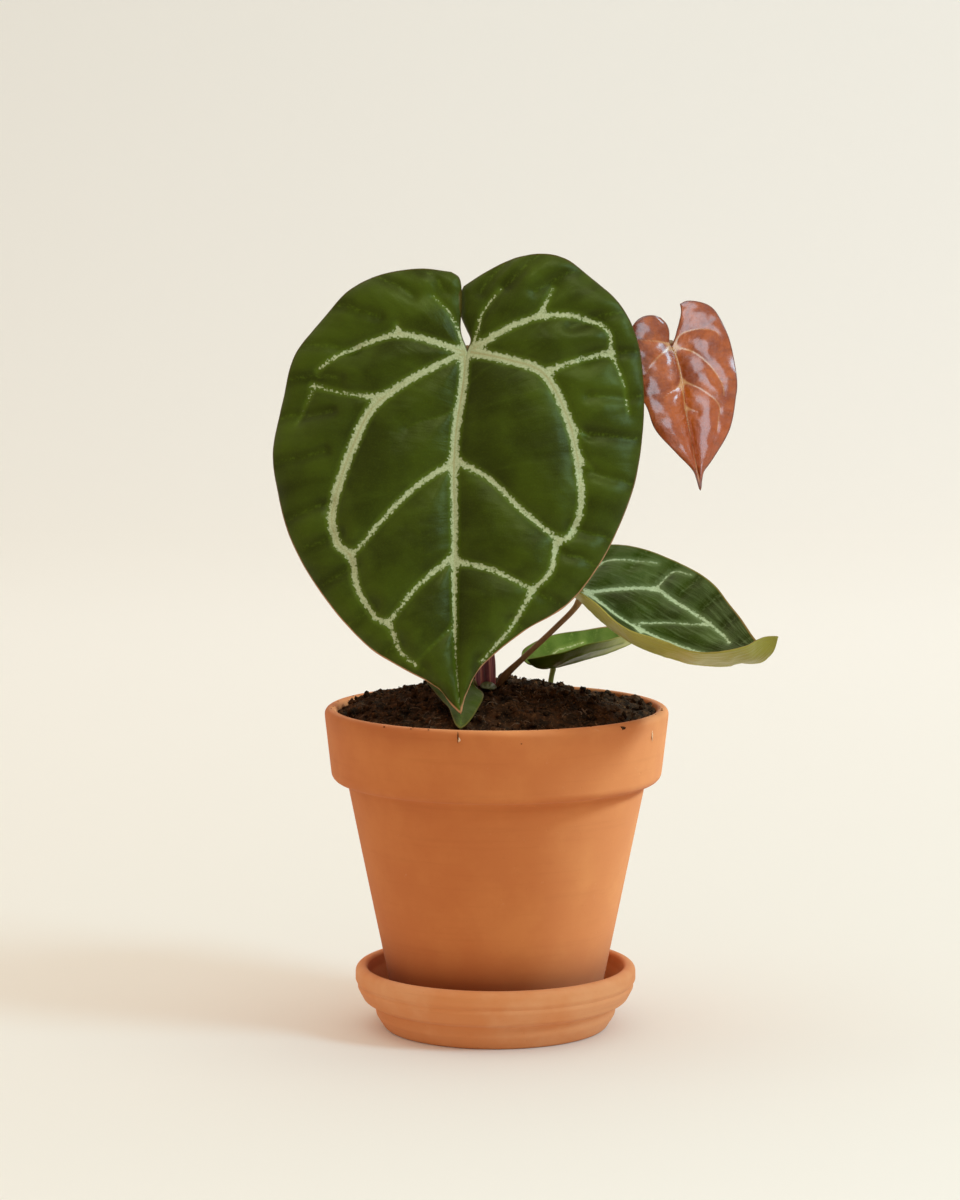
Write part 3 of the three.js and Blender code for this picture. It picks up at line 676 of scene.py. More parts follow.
def half_sheet(leaf, half, v, s):
    """Points (1 - s) midrib + s margin, with the sinus edge's bow fading as (1 - v) to the fifth.

    v runs from the stalk to the tip and s from the midrib to the margin. The sheet is lifted
    square to each ruling by arch * 4 s (1 - s) + wave * s cubed * sine, fading at both ends.
    """
    corner = np.array(half["sinus"][-1], float)
    midrib = curve_through([(0, 0, 0), *leaf["midrib"], leaf["tip"]], v**RULING_START)[:, None]
    margin = curve_through([corner, *half["margin"], leaf["tip"]], v)[:, None]
    sinus = curve_through([(0, 0, 0), *half["sinus"]], s)[None]
    v, s = v[:, None, None], s[None, :, None]
    ruling = margin - midrib
    sheet = midrib + ruling * s + (sinus - s * corner) * (1 - v) ** BOW_FADE
    ruling = unit(ruling)
    up = unit(np.array([0, 0, 1]) - ruling * ruling[..., 2:])
    wave = leaf["wave"] * s**3 * np.sin(2 * pi * leaf["waves"] * v + half["phase"])
    lift = half["arch"] * 4 * s * (1 - s) + wave
    return sheet + up * lift * np.abs(np.sin(pi * v)) ** 0.6


def unit(vectors):
    """The same directions with a length of one."""
    return vectors / np.maximum(np.linalg.norm(vectors, axis=-1, keepdims=True), 1e-9)


def blade_axes(leaf):
    """The leaf's across, along and lift directions in the plant, as three rows."""
    along = unit(np.array(leaf["towards"], float) - leaf["junction"])
    lift = np.array(leaf["face"], float)
    lift = unit(lift - along * (lift @ along))
    return np.array([np.cross(lift, along), along, lift])


# %% Distances to veins and edges
def gap_to(points, line):
    """Distance from each point to each run of a polyline, and where on the line, 0 to 1."""
    start, step = line[:-1], np.diff(line, axis=0)
    along = ((points[:, None] - start) * step).sum(-1) / np.maximum((step**2).sum(-1), 1e-9)
    along = np.clip(along, 0, 1)
    gap = np.linalg.norm(points[:, None] - start - along[..., None] * step, axis=-1)
    return gap, (np.arange(len(step)) + along) / len(step)


def vein_fields(points, veins):
    """Depth inside the widest vein band here and distance to the nearest centre line, in mm.

    A vein is a smooth curve in the leaf's flat frame and a list of widths along it. The depth
    is half the width less the distance to the curve, so it is negative outside every band. The
    depths of all veins are joined as log(sum of exp(depth)) - 0.3, which webs each fork.
    """
    total = np.zeros(len(points))
    centre = np.full(len(points), 99.0)
    for widths, *path in veins:
        line = curve_through(path, np.linspace(0, 1, 5 * len(path)))
        gap, where = gap_to(points, line)
        width = np.interp(where, np.linspace(0, 1, len(widths)), widths)
        total += np.exp(np.maximum((width / 2 - gap).max(1), -30))
        centre = np.minimum(centre, gap.min(1))
    return np.log(total) - 0.3, centre


def lateral_veins(flat, count, start, rng):
    """Minor veins: each leaves the collective vein and sweeps a little forward to the margin."""
    rows, middle = flat.shape[0] - 1, flat.shape[1] // 2
    s = np.linspace(start, 0.98, 5)
    veins = []
    for side in (-1, 1):
        for v in np.linspace(0.04, 0.9, count) + rng.normal(0, 0.008, count):
            row = np.rint(np.clip(v + 0.06 * (s - start), 0, 1) * rows).astype(int)
            veins.append(([1, 0.3], *flat[row, middle + side * np.rint(s * middle).astype(int)]))
    return veins


# %% Blade with relief and thickness
def make_blade(name, leaf, finish, replaces, rows, columns):
    """One closed sheet: an upper and a lower face, joined round the rim.

    The tissue swells between the veins by quilt * (1 - exp(-gap / 6 mm)). Minor veins are
    furrows, the pale veins have a thin cord, and the midrib stands out below as a rounded rib.
    The sheet is 0.56 mm thick at its rim and 0.8 mm inside. Each field is written for the upper
    face and repeated for the lower one.
    """
    v = np.linspace(0, 1, rows + 1)
    s = np.linspace(0, 1, columns + 1)
    left, right = half_sheet(leaf, leaf["left"], v, s), half_sheet(leaf, leaf["right"], v, s)
    sheet = np.concatenate([left[:, :0:-1], right], 1)
    width = sheet.shape[1]

    flat = sheet[..., :2]
    points = np.vstack([flat[:-1].reshape(-1, 2), leaf["tip"][:2]])
    rng = np.random.default_rng(leaf["seed"])
    laterals = lateral_veins(flat, *leaf["laterals"], rng)
    band, line = vein_fields(points, leaf["veins"])
    _, minor = vein_fields(points, laterals)
    outline = np.vstack([flat[::-5, 0], flat[0, ::5], flat[::5, -1]])
    edge = gap_to(points, outline)[0].min(1)
    rib = gap_to(points, flat[::4, width // 2])[0].min(1)
    toward_tip = np.append(np.repeat(v[:-1], width), 1.0)

    rim = 1 - np.exp(-edge / 5)
    swell = leaf["quilt"] * (1 - np.exp(-np.maximum(-band, 0) / 6)) * rim
    furrow = 0.45 * leaf["quilt"] * np.exp(-((minor / 3) ** 2)) * rim
    cord = 0.22 * np.exp(-((line / 0.6) ** 2)) * np.exp(-edge)
    grain = 0.3 * (lattice_noise(points[:, 0], points[:, 1], 6, leaf["seed"]) - 0.5)
    grain = grain + 0.14 * (lattice_noise(points[:, 0], points[:, 1], 2.4, leaf["seed"] + 9) - 0.5)
    relief = swell - furrow + cord + grain
    half = 0.28 + 0.12 * (1 - np.exp(-edge / 4))
    keel = leaf["rib"] * np.exp(-((rib / 1.5) ** 2)) * (1 - toward_tip)
    keel = keel + 0.35 * np.exp(-((line / 0.9) ** 2)) * rim

    axes = blade_axes(leaf)
    placed = sheet @ axes + leaf["junction"]
    normal = unit(np.cross(np.gradient(placed, axis=0), np.gradient(placed, axis=1)))
    middle = np.vstack([placed[:-1].reshape(-1, 3), placed[-1, 0]])
    normal = np.vstack([normal[:-1].reshape(-1, 3), unit(normal[-2].mean(0))])
    upper = middle + normal * (relief + half)[:, None]
    under = middle + normal * (relief - half - keel)[:, None]

    grid = grid_faces(rows, width)[:, ::-1]
    tip = len(middle) - 1
    last = (rows - 1) * width + np.arange(width)
    close = np.stack([last[:-1], np.full(width - 1, tip), last[1:]], -1)
    top = np.vstack([grid, close])
    right_rim, left_rim = np.arange(2, rows + 1) * width - 1, np.arange(rows - 1, 0, -1) * width
    loop = np.concatenate([np.arange(width), right_rim, [tip], left_rim])
    a, b, shift = loop, np.roll(loop, -1), len(middle)
    rims = np.vstack([np.stack([a, b, b + shift], -1), np.stack([a, b + shift, a + shift], -1)])
    faces = np.vstack([top, top[:, ::-1] + shift, rims])

    reach = leaf["tip"][1]
    both = {"band": band, "line": line, "minor": minor, "edge": edge, "tip": toward_tip}
    fields = {key: np.tile(np.clip(values, -9, 30), 2) for key, values in both.items()}
    signed = np.concatenate([-s[:0:-1], s])
    fields["down"] = np.tile(toward_tip * reach, 2)
    fields["out"] = np.tile(np.append(np.tile(signed, rows), 0) * reach / 2, 2)
    fields["below"] = np.repeat([0.0, 1.0], len(middle))
    return make_piece(name, np.vstack([upper, under]), faces, finish, replaces, fields)


# %% [markdown]
# ## Velvet and silver
# A crystal anthurium's blade looks deep green and velvety because its skin cells are tiny domes.
# Sheen could give that look, but it greys the margins, so the blade has a weak, wide shine that is
# tinted yellow-green. The pale veins are bands with speckled, feathery borders and a thin beige
# cord. The bands come from distances kept on the mesh, broken up by fine noise, so they stay
# crisp at any size and run round to the back.

# %% Green leaf finish
VELVET_SHINE = (1.0, 1.0, 0.5, 1)


def green_leaf(
    name, deep, green, bright, silver, cord, under, under_tip=None, rim="4a3c14",
    dry_rim="c08a66", sheen_streaks=0.1, grain=(4.5, 24), ragged=4.6,
):
    """Two greens in clouds, with painted sheen on streaks and puffs, and silver veins over them.

    A vein is pale where its band plus a noise, ragged times as wide in mm, is above zero. The
    margin is a thin line that turns from rim to dry_rim towards the tip, and the lower face goes
    from under to under_tip.
    """
    leaf = Finish(name, Roughness=0.36, Specular_IOR_Level=0.15, Specular_Tint=VELVET_SHINE)
    band, line, edge, minor, tip = map(leaf.field, ("band", "line", "edge", "minor", "tip"))
    streak = leaf.streaks(*grain)
    cells = leaf.noise(0.6, detail=3, roughness=0.7)
    fleck = leaf.noise(1.3, detail=4, roughness=0.65)

    cloud = leaf.ease(leaf.noise(24, detail=3, roughness=0.5), 0.35, 0.65)
    tone = leaf.mix(cloud, colour(deep), colour(green))
    # Painted sheen along the wrinkles that follow the leaf.
    tone = leaf.tint(tone, bright, leaf.ease(streak, 0.5, 0.75), sheen_streaks)
    tone = leaf.tint(tone, bright, leaf.ease(cells, 0.45, 0.7), 0.1)
    # Painted sheen on the puffed tissue between the minor veins.
    sheen_on_puffs = leaf.times(leaf.ease(minor, 1.5, 4.5), leaf.ease(minor, 12, 7))
    tone = leaf.tint(tone, bright, sheen_on_puffs, 0.13)
    broken = leaf.times(leaf.ease(minor, 1.2, 0.1), leaf.ease(fleck, 0.45, 0.6))
    tone = leaf.tint(tone, bright, broken, 0.3)
    tone = leaf.tint(tone, bright, leaf.ease(band, -2.2, 0.2), 0.45)

    border = leaf.times(leaf.math("SUBTRACT", fleck, 0.51), ragged)
    pale = leaf.ease(leaf.math("ADD", band, border), -0.3, 0.3)
    silvery = leaf.tint(colour(silver), bright, leaf.ease(cells, 0.42, 0.62), 0.4)
    tone = leaf.mix(leaf.times(pale, 0.95), tone, silvery)
    centre = leaf.times(leaf.ease(line, 0.8, 0.2), leaf.ease(band, 0.9, 1.7))
    tone = leaf.tint(tone, cord, centre, 0.6)
    edging = leaf.mix(leaf.ease(tip, 0.45, 0.75), colour(rim), colour(dry_rim))
    tone = leaf.mix(leaf.times(leaf.ease(edge, 0.65, 0.25), 0.85), tone, edging)

    back = leaf.mix(leaf.ease(tip, 0.3, 0.95), colour(under), colour(under_tip or under))
    back = leaf.tint(back, cord, leaf.ease(band, -1.5, 0.8))
    tone = leaf.mix(leaf.field("below"), tone, back)
    skin = leaf.bump(cells, 0.12, 0.5, under=leaf.bump(streak, 0.9, 0.5))
    return leaf.finish(Base_Color=tone, Normal=skin)


velvet_green = green_leaf(
    "velvet_green", deep="262c03", green="353f07", bright="5a6c1c", silver="b2b48e",
    cord="968858", under="54672f",
)
shaded_green = green_leaf(
    "shaded_green", deep="2a3404", green="364408", bright="4a5a14", silver="5c6e1e",
    cord="5c6e1e", under="3a4a10", dry_rim="5a5020",
)
young_green = green_leaf(
    "young_green", deep="44601a", green="5e7c2a", bright="9cb058", silver="ccd4a0",
    cord="6a7a30", under="46560c", under_tip="c8d078", rim="6b6b2c", ragged=3.0,
)
folded_green = green_leaf(
    "folded_green", deep="232c04", green="334408", bright="7c8c5c", silver="bcc8a0",
    cord="b9b878", under="bcb25e", under_tip="8a8234", rim="7a6a2a", dry_rim="8a6a3a",
    sheen_streaks=0.32, grain=(12, 2.8), ragged=2.6,
)
print("green leaves:", [finish.name for finish in (velvet_green, shaded_green, young_green, folded_green)])

# %% [markdown]
# ## Bronze
# A new leaf is thin, smooth and still brown. Its shine lies in a waxy skin above the colour, so a
# clear coat gives it, and wrinkles that follow the leaf break the highlights into soft patches.

# %% Bronze leaf finish
def bronze_leaf():
    """Two browns in clouds under a coat, pale veins, and a dark line along minor veins and margin."""
    leaf = Finish("glossy_bronze", Roughness=0.5, Specular_IOR_Level=0.3)
    leaf.finish(Coat_Weight=0.8, Coat_Roughness=0.2, Coat_IOR=1.58)
    band, edge, minor, tip = map(leaf.field, ("band", "edge", "minor", "tip"))
    cloud = leaf.ease(leaf.noise(11, detail=4, roughness=0.6), 0.35, 0.65)
    tone = leaf.mix(cloud, colour("7c2e00"), colour("a64a00"))
    tone = leaf.tint(tone, "983c00", leaf.ease(tip, 0.4, 1.0))
    tone = leaf.tint(tone, "c48c58", leaf.ease(band, -0.5, 0.4), 0.8)
    tone = leaf.tint(tone, "642a0a", leaf.ease(minor, 1.0, 0.1), 0.3)
    tone = leaf.tint(tone, "702e10", leaf.ease(edge, 0.7, 0.2))
    cells = leaf.noise(1.2, detail=3, roughness=0.6)
    wrinkled = leaf.bump(leaf.streaks(3, 7), 2.2, 0.8)
    return leaf.finish(Base_Color=tone, Normal=leaf.bump(cells, 0.25, 0.5, under=wrinkled))


glossy_bronze = bronze_leaf()
print("bronze leaf:", glossy_bronze.name)

# %% [markdown]
# ## The largest leaf
# It hangs tip down and faces the viewer. Its veins are written as lines in the flat frame, with
# their widths: the midrib, the pair of collective veins that run parallel to the margin, the
# basal veins that fan out from the stalk, and the laterals that join them.

# %% Largest leaf
MAIN_LEAF = {
    "junction": (-12.6, -22, 296.5),
    "towards": (-15.2, -64, 146.9),
    "face": (0, -1, 0.28),
    "wave": 1.1,
    "waves": 7,
    "rib": 1.4,
    "quilt": 3.4,
    "laterals": (13, 0.7),
    "seed": 51,
    "midrib": [
        (-1.2, 11, 0), (-4, 34, 0), (-4.8, 50, 0), (-4, 75, 0), (-3.4, 110, 0), (-2.4, 133, 0),
    ],
    "tip": (0, 155.4, 0),
    "left": {
        "arch": 6,
        "phase": 0.4,
        "sinus": [(-3, -8, 0.6), (-2.8, -21, 1.6), (-3.9, -31, 2.6), (-7.4, -33.6, 3)],
        "margin": [
            (-21, -34.5, 4), (-37, -32, 3), (-50.5, -25, 2), (-60, -15, 0), (-73, 2.5, -2),
            (-77.6, 20, -4), (-81.5, 44.5, -6), (-79, 62.5, -6), (-72.5, 83, -6),
            (-58.6, 106, -5), (-39.5, 127, -3), (-24.4, 136.5, -2), (-13.6, 142, -1),
            (-8, 146, -0.8), (-4, 151.3, -0.3),
        ],
    },
    "right": {
        "arch": 6,
        "phase": 1.9,
        "sinus": [
            (1.5, -4.8, -0.4), (-0.2, -9.4, -1.2), (-3.3, -17, -1.8), (-3.8, -24, -1.8),
            (-2, -28.4, -1),
        ],
        "margin": [
            (8.9, -35, 2), (17, -39, 3), (25, -41.2, 4), (33.2, -41.7, 4), (41.3, -39.8, 4),
            (51.6, -32.8, 2), (64.7, -21, 0), (72.5, -5.6, -2), (75.3, 18.5, -5),
            (73.8, 44.7, -6), (68.6, 65.5, -6), (56.8, 91.2, -5), (43.5, 108, -4),
            (26.2, 119.2, -3), (11.7, 131.3, -2), (6.4, 137.4, -1), (3.2, 143.4, -0.8),
            (1.2, 149, -0.3),
        ],
    },
    "veins": [
        # widths in mm, then the points (across, along) of the vein
        ([4.6, 4.4, 4.0, 3.4, 2.8, 1.6, 0.6], (-1.2, 2), (-1.2, 11.4), (-4.2, 34.8), (-4.8, 48.6),
         (-4.1, 73.5), (-3.5, 110), (-2.4, 133), (-0.3, 153.8)),
        ([2.6, 3.6, 4.4, 4.2, 3.4, 2.4, 1.2], (-1.3, 1.2), (-14.7, 8.2), (-30.7, 18.3), (-40, 26.6),
         (-47.7, 43.1), (-52.8, 58), (-55.9, 72.9), (-52.9, 84.4), (-48.1, 88.5), (-43.8, 104),
         (-35.5, 116.1), (-31.4, 117.5), (-25.8, 129.5), (-19, 135.5)),
        ([3.4, 3, 2.4, 1.2], (-1.3, 0.5), (-12.2, -2.2), (-28.5, -5.7), (-40.6, -2.3),
         (-54, 3.2), (-63.4, 9.9)),
        ([2.8, 0.6], (-29.1, -6.4), (-29.9, -10.2)),
        ([1.6, 0.6], (-1.4, -0.9), (-7, -14.1), (-14.6, -22.6)),
        ([2.6, 1.6, 1.2, 1.8], (-37.4, 21.5), (-46.9, 20.5), (-55, 19), (-65.3, 16)),
        ([0.8, -0.4], (-65.3, 19.3), (-69.8, 28.7), (-71.8, 32.8)),
        ([2.9, 2.5, 2], (-5.9, 48.8), (-19.2, 58.3), (-32.3, 71.6), (-44.1, 85.9), (-47.5, 88.5)),
        ([2.6, 2.2, 1.8], (-5.8, 89.8), (-19.6, 102.7), (-28.8, 114.9), (-31.4, 117.5)),
        ([0.2, -1.6], (-4.6, 119), (-11.2, 126.1), (-19.1, 134.2)),
        ([-1.6, -2.0], (-5.6, 26.1), (-11.6, 29.2), (-19.7, 31.7), (-25, 34.6)),
        ([4.4, 4.2, 3.6, 3.0, 2.2, 1.2], (2, 0.8), (17.6, 4.5), (31.2, 9.1), (38.1, 18.4),
         (44.4, 33.2), (48, 50.8), (48.9, 67), (44.4, 79.4), (39.7, 81.7), (36.5, 94.7),
         (29.2, 103), (20.8, 117.9), (13.5, 126.7), (8.3, 132.9)),
        ([3.2, 3, 2.4, 1.4], (3, -0.7), (17.4, -9.2), (30.9, -14.3), (47.1, -14.6), (59.4, -9.3),
         (61.3, -0.6)),
        ([2.4, 0.8], (30.8, -15), (32.8, -19.9), (36.1, -27)),
        ([1.6, 0.6], (2.9, -2.1), (6.5, -15.7), (13.8, -25.9)),
        ([3.2, 2.2, 2.4], (34.6, 9), (47.4, 3.7), (61.3, -0.4)),
        ([1.1, 0.5], (61.3, 0.7), (66.5, 12.7), (68.7, 24.9)),
        ([2.7, 2.5, 2.2], (-2.5, 48.1), (10.4, 55.8), (24, 68.6), (39.7, 81.3)),
        ([2.5, 2.1, 1.8], (-1.8, 91.1), (12.4, 94.7), (29.2, 102.7)),
        ([1.8, -0.8], (44.2, 33), (52, 36)),
        ([1.8, -0.8], (46.8, 45), (54, 50)),
    ],
}
make_blade(
    "leaf_main", MAIN_LEAF, velvet_green, ["leaf_main_blade"], rows=190, columns=105
)

# %% [markdown]
# ## The other leaves
# The newest leaf is still thin, glossy and bronze. The right leaf is folded up like a boat, so the
# viewer sees its keel's hollow and its curled tip. The small back and front leaves lie low over
# the soil and the rim.

# %% Bronze leaf
BRONZE_LEAF = {
    "junction": (75.1, 0, 297.1),
    "towards": (87.5, -9, 236),
    "face": (0, -1, 0.12),
    "wave": 0.5,
    "waves": 4,
    "rib": 0.7,
    "quilt": 1.5,
    "laterals": (7, 0.7),
    "seed": 52,
    "midrib": [(1.5, 6, 0), (1.7, 17, 0), (0.6, 30, 0), (0.6, 48, 0), (0.9, 56, 0)],
    "tip": (0, 63.1, 0),
    "left": {
        "arch": 2.5,
        "phase": 0.5,
        "sinus": [(-0.4, -3, 0.5), (0.3, -7, 1.5), (-0.2, -10, 2.5), (-2.2, -13, 3.5)],
        "margin": [
            (-5, -14.5, 4.5), (-8.6, -15, 5), (-12, -14, 5), (-15.2, -11, 5), (-17.8, -4, 5),
            (-19, 6.5, 4), (-18.5, 16.5, 4), (-16, 23, 4), (-13.9, 33.4, 3), (-7.1, 45.2, 1.2),
            (-1.6, 53.4, 0.3), (-0.5, 58, 0),
        ],
    },
    "right": {
        "arch": 2.5,
        "phase": 2,
        "sinus": [
            (2.4, -3.5, 0.3), (3.8, -6.5, 0.8), (5.3, -9.5, 1.2), (7, -13.8, 2), (7.2, -17.2, 3),
        ],
        "margin": [
            (10.4, -18, 3), (17.4, -15.5, 3), (21, -12, 3), (24.5, -1, 3), (25.2, 9.5, 2),
            (24.5, 21, 2), (22.5, 27.5, 1.5), (17.6, 39.5, 1), (8.6, 50, 0.4), (2.9, 55.5, 0),
            (1.2, 59.5, 0),
        ],
    },
    "veins": [
        ([1.5, 1.2, 0.6], (0.8, 0.3), (1.6, 11.6), (0.8, 23.2), (0.5, 41.6), (0.2, 61.9)),
        ([1.2, 0.6], (0.9, 0), (8.6, 4), (14.9, 12.1), (18.2, 21.4), (17.8, 25)),
        ([1.1, 0.5], (1.3, -0.8), (4.8, -4.3), (12.8, -5), (20.2, -2.2), (20.8, -0.3)),
        ([1, 0.5], (2.4, 15.5), (9.9, 21.5), (15.1, 29.3), (13.3, 35.1), (11.8, 39.7)),
        ([0.8, 0.4], (1.3, 27), (5.8, 29.9)),
        ([0.8, 0.4], (0.5, 17), (-7.9, 21.2)),
        ([1.2, 0.6], (0, -0.1), (-7.5, 4), (-14.2, 10)),
        ([1.1, 0.5], (-0.8, -1.1), (-4.8, -3), (-13.6, -5.2)),
    ],
}
make_blade(
    "leaf_bronze", BRONZE_LEAF, glossy_bronze, ["leaf_bronze_blade"], 110, 55
)

# %% Right leaf
RIGHT_LEAF = {
    "junction": (37.5, 1, 190.9),
    "towards": (100.9, -39, 168.2),
    "face": (0, -0.42, 0.91),
    "wave": 0.6,
    "waves": 4,
    "rib": 0.9,
    "quilt": 2.0,
    "laterals": (9, 0.66),
    "seed": 53,
    "midrib": [
        (0, 9, -2.4), (0, 16, -4.3), (0, 33, -7.3), (0, 44, -7.6), (0, 56, -7), (0, 67.5, -5),
        (0, 77, -2.6), (0, 86, 0), (0, 92.5, 4), (0.3, 96.3, 9.5),
    ],
    "tip": (1, 97.5, 17.5),
    "left": {
        "arch": -5.5,
        "phase": 0,
        "sinus": [(-3, -4, 2.5), (-9, -8, 8)],
        "margin": [
            (-16, -4, 13), (-22, 4, 17.5), (-27, 13, 20.5), (-30.5, 27, 19.5), (-32, 39, 17),
            (-32.5, 50, 16), (-32, 64, 16.8), (-31, 77, 18), (-27, 87, 19.5), (-18, 93, 20),
            (-9, 93.5, 19.2), (-3, 94.8, 18.3),
        ],
    },
    "right": {
        "arch": -1.5,
        "phase": 1,
        "sinus": [(3, -6, 1), (7, -13, 2), (13, -18, 3)],
        "margin": [
            (22, -16, 4.6), (29, -10.5, 6), (33, -3, 7), (34.5, 8, 8), (36, 22, 8), (35, 33, 8),
            (31, 48, 7), (25.5, 58, 6), (20.5, 67, 5), (11.5, 80.5, 4), (6.5, 88, 6),
            (3.5, 94, 11.5),
        ],
    },
    "veins": [
        ([2.6, 2.2, 1.5, 0.6], (0.9, 0.5), (-0.5, 20), (0, 34), (0.6, 59), (0, 86), (0.3, 93)),
        ([1.8, 1.0], (2.3, -3), (21.2, -4.3), (26, 2.1), (28.9, 9.7), (31.7, 17.5)),
        ([2.4, 2.0, 1.4], (2.3, 1.6), (14.2, 12.8), (21, 25), (19.7, 32.3), (17.1, 48.3),
         (12.1, 64.2), (8.6, 70.4)),
        ([1.7, 0.8], (21, 23.4), (31.4, 25.8), (32.6, 35.2)),
        ([1.4, 0.8], (2.7, 28.2), (8.8, 38.3), (14.4, 54.9)),
        ([2.0, 1.0], (-2, 1.6), (-12, 12), (-18, 26), (-19, 45), (-16, 66), (-9, 82)),
        ([1.5, 0.9], (-1, 30), (-9, 41), (-16, 56)),
    ],
}
make_blade("leaf_right", RIGHT_LEAF, folded_green, ["leaf_right_blade"], 150, 60)

# %% Back leaf
BACK_LEAF = {
    "junction": (25.6, 50, 151.6),
    "towards": (71.3, 56, 165.8),
    "face": (0, -0.19, 0.98),
    "wave": 0.3,
    "waves": 3,
    "rib": 0.6,
    "quilt": 0.5,
    "laterals": (6, 0.6),
    "seed": 54,
    "midrib": [(0, 12, -0.5), (0, 30, -1)],
    "tip": (0, 50, 2),
    "left": {
        "arch": -0.8,
        "phase": 0,
        "sinus": [(-3, -4, 1.5), (-7, -9, 6), (-10.5, -11.5, 11.4)],
        "margin": [
            (-14.2, -7.5, 12), (-16, 2, 11.5), (-16, 15, 11), (-14, 28, 9.5), (-8, 39, 6),
            (-3, 46, 3.2),
        ],
    },
    "right": {
        "arch": -1,
        "phase": 1,
        "sinus": [(3, -4, 1), (8, -9.5, 2), (13.5, -11.5, 3.5)],
        "margin": [
            (18.5, -9, 5), (18.7, -3, 7), (17.5, 4.5, 8), (17.5, 14, 6.6), (16.2, 27, 5),
            (10.5, 38, 3.5), (4, 46, 2.4),
        ],
    },
    "veins": [
        ([2.4, 1.5], (0, 1), (0, 24), (0, 47)),
        ([1.8, 1.1], (2, -1), (8.1, 2.9), (9.8, 8.8), (10.6, 17.4)),
        ([1.8, 1.1], (-2, 1), (-8, 6), (-10, 18), (-7, 32)),
    ],
}
make_blade("leaf_back", BACK_LEAF, young_green, ["leaf_back_blade"], 80, 34)

# %% Front leaf
FRONT_LEAF = {
    "junction": (-14.1, -22, 162.5),
    "towards": (-15.4, -65.5, 140.6),
    "face": (0, -0.5, 0.85),
    "wave": 0.3,
    "waves": 3,
    "rib": 0.6,
    "quilt": 0.5,
    "laterals": (6, 0.6),
    "seed": 55,
    "midrib": [(-0.3, 12, -0.6), (-0.3, 30, -0.6)],
    "tip": (0, 48.6, 0),
    "left": {
        "arch": 1,
        "phase": 0,
        "sinus": [(-2, -4, 1), (-4, -7.5, 1.5), (-8, -9, 1)],
        "margin": [
            (-12.5, -6, 0.5), (-15.5, 1, 0), (-16.6, 7, -0.5), (-15.6, 12.5, -1), (-12, 19.5, -1),
            (-8.3, 26.5, -1), (-5.3, 33, -0.5), (-3.7, 39.5, 0), (-1.8, 46, 0),
        ],
    },
    "right": {
        "arch": 0.6,
        "phase": 1,
        "sinus": [(1.5, -3, 1), (3, -5.5, 1.5), (5.5, -6.5, 1.5)],
        "margin": [
            (8, -2, 1.5), (6.8, 6, 1.5), (4.6, 12, 1.5), (4.8, 17, 1), (8.6, 21.5, 0),
            (8.9, 25.5, 0), (6.9, 33, -0.5), (4.7, 40, 0), (2.1, 46, 0),
        ],
    },
    "veins": [
        ([1.4, 0.6], (0, 1), (0, 24), (0, 46)),
        ([0.9, 0.5], (-1, 0), (-8, 4), (-10, 12), (-5, 26)),
        ([0.7, 0.4], (1, 0), (4, 3), (3, 12)),
    ],
}
make_blade("leaf_front", FRONT_LEAF, shaded_green, ["leaf_front_blade"], 80, 34)

# %% [markdown]
# ## Stalks
# Each leaf stands on a round stalk of its own, slim along its length and swollen into a knee just
# below the blade. A stalk is a tube of rings round a smooth line. The rings turn with the line
# but keep one fixed direction in view, so they never twist.

# %% Stalk tube
def stem(route, foot, waist, knee, sides=36, steps=130):
    """Rings at even steps of the route, whose radius runs smoothly through foot, waist and knee.

    A ring's vertex lies at centre + radius * (side * cos a + other * sin a). Its radius has five
    very low ridges, 1 + 0.02 * sin(5 a + 9 u), which turn with the distance u along the stalk.
    """
    u = np.linspace(0, 1, steps)
    centre = curve_through(route, u)
    tangent = unit(np.gradient(centre, axis=0))
    side = unit(np.cross(tangent, (1, 1, 0)))
    other = np.cross(tangent, side)
    stations = [
        (0, foot), (0.18, foot), (0.45, waist), (0.84, waist), (0.94, knee), (1, 0.85 * knee),
    ]
    fine = curve_through(stations, np.linspace(0, 1, 300))
    radius = np.interp(u, fine[:, 0], fine[:, 1])
    turn = round_angles(sides)
    ridge = 1 + 0.02 * np.sin(5 * turn + 9 * u[:, None])
    out = side[:, None] * np.cos(turn)[:, None] + other[:, None] * np.sin(turn)[:, None]
    grid = centre[:, None] + out * (radius[:, None] * ridge)[..., None]
    vertices = np.vstack([grid.reshape(-1, 3), centre[[0, -1]]])
    return vertices, closed_tube(steps, sides), np.append(np.repeat(u, sides), (0, 1))


def stalk_finish(name, foot, body, knee):
    """Three colours along the stalk, under dark flecks that are drawn out lengthwise."""
    stalk = Finish(name, Roughness=0.45, Specular_IOR_Level=0.4)
    along = stalk.field("along")
    mottle = stalk.noise(2.4, detail=3, stretch=(1, 1, 0.35))
    tone = stalk.mix(stalk.ease(along, 0.1, 0.5), colour(foot), colour(body))
    tone = stalk.tint(tone, knee, stalk.ease(along, 0.82, 0.95))
    tone = stalk.tint(tone, "2a1c08", stalk.ease(mottle, 0.45, 0.7), 0.3)
    return stalk.finish(Base_Color=tone, Normal=stalk.bump(mottle, 0.2, 0.4))


brown_stalk = stalk_finish("brown_stalk", "4a3a1c", "6b5a2c", "8a6a3a")
dark_stalk = stalk_finish("dark_stalk", "6a4526", "8a5e34", "b88a50")
green_stalk = stalk_finish("green_stalk", "7c7c38", "8a8a40", "8a8a40")

# %% The five stalks
STALK_FOOT = 136


def seat(leaf):
    """The middle of the blade's thickness at its junction, so that the stalk grows into it."""
    return tuple(np.array(leaf["junction"]) - 0.3 * blade_axes(leaf)[2])


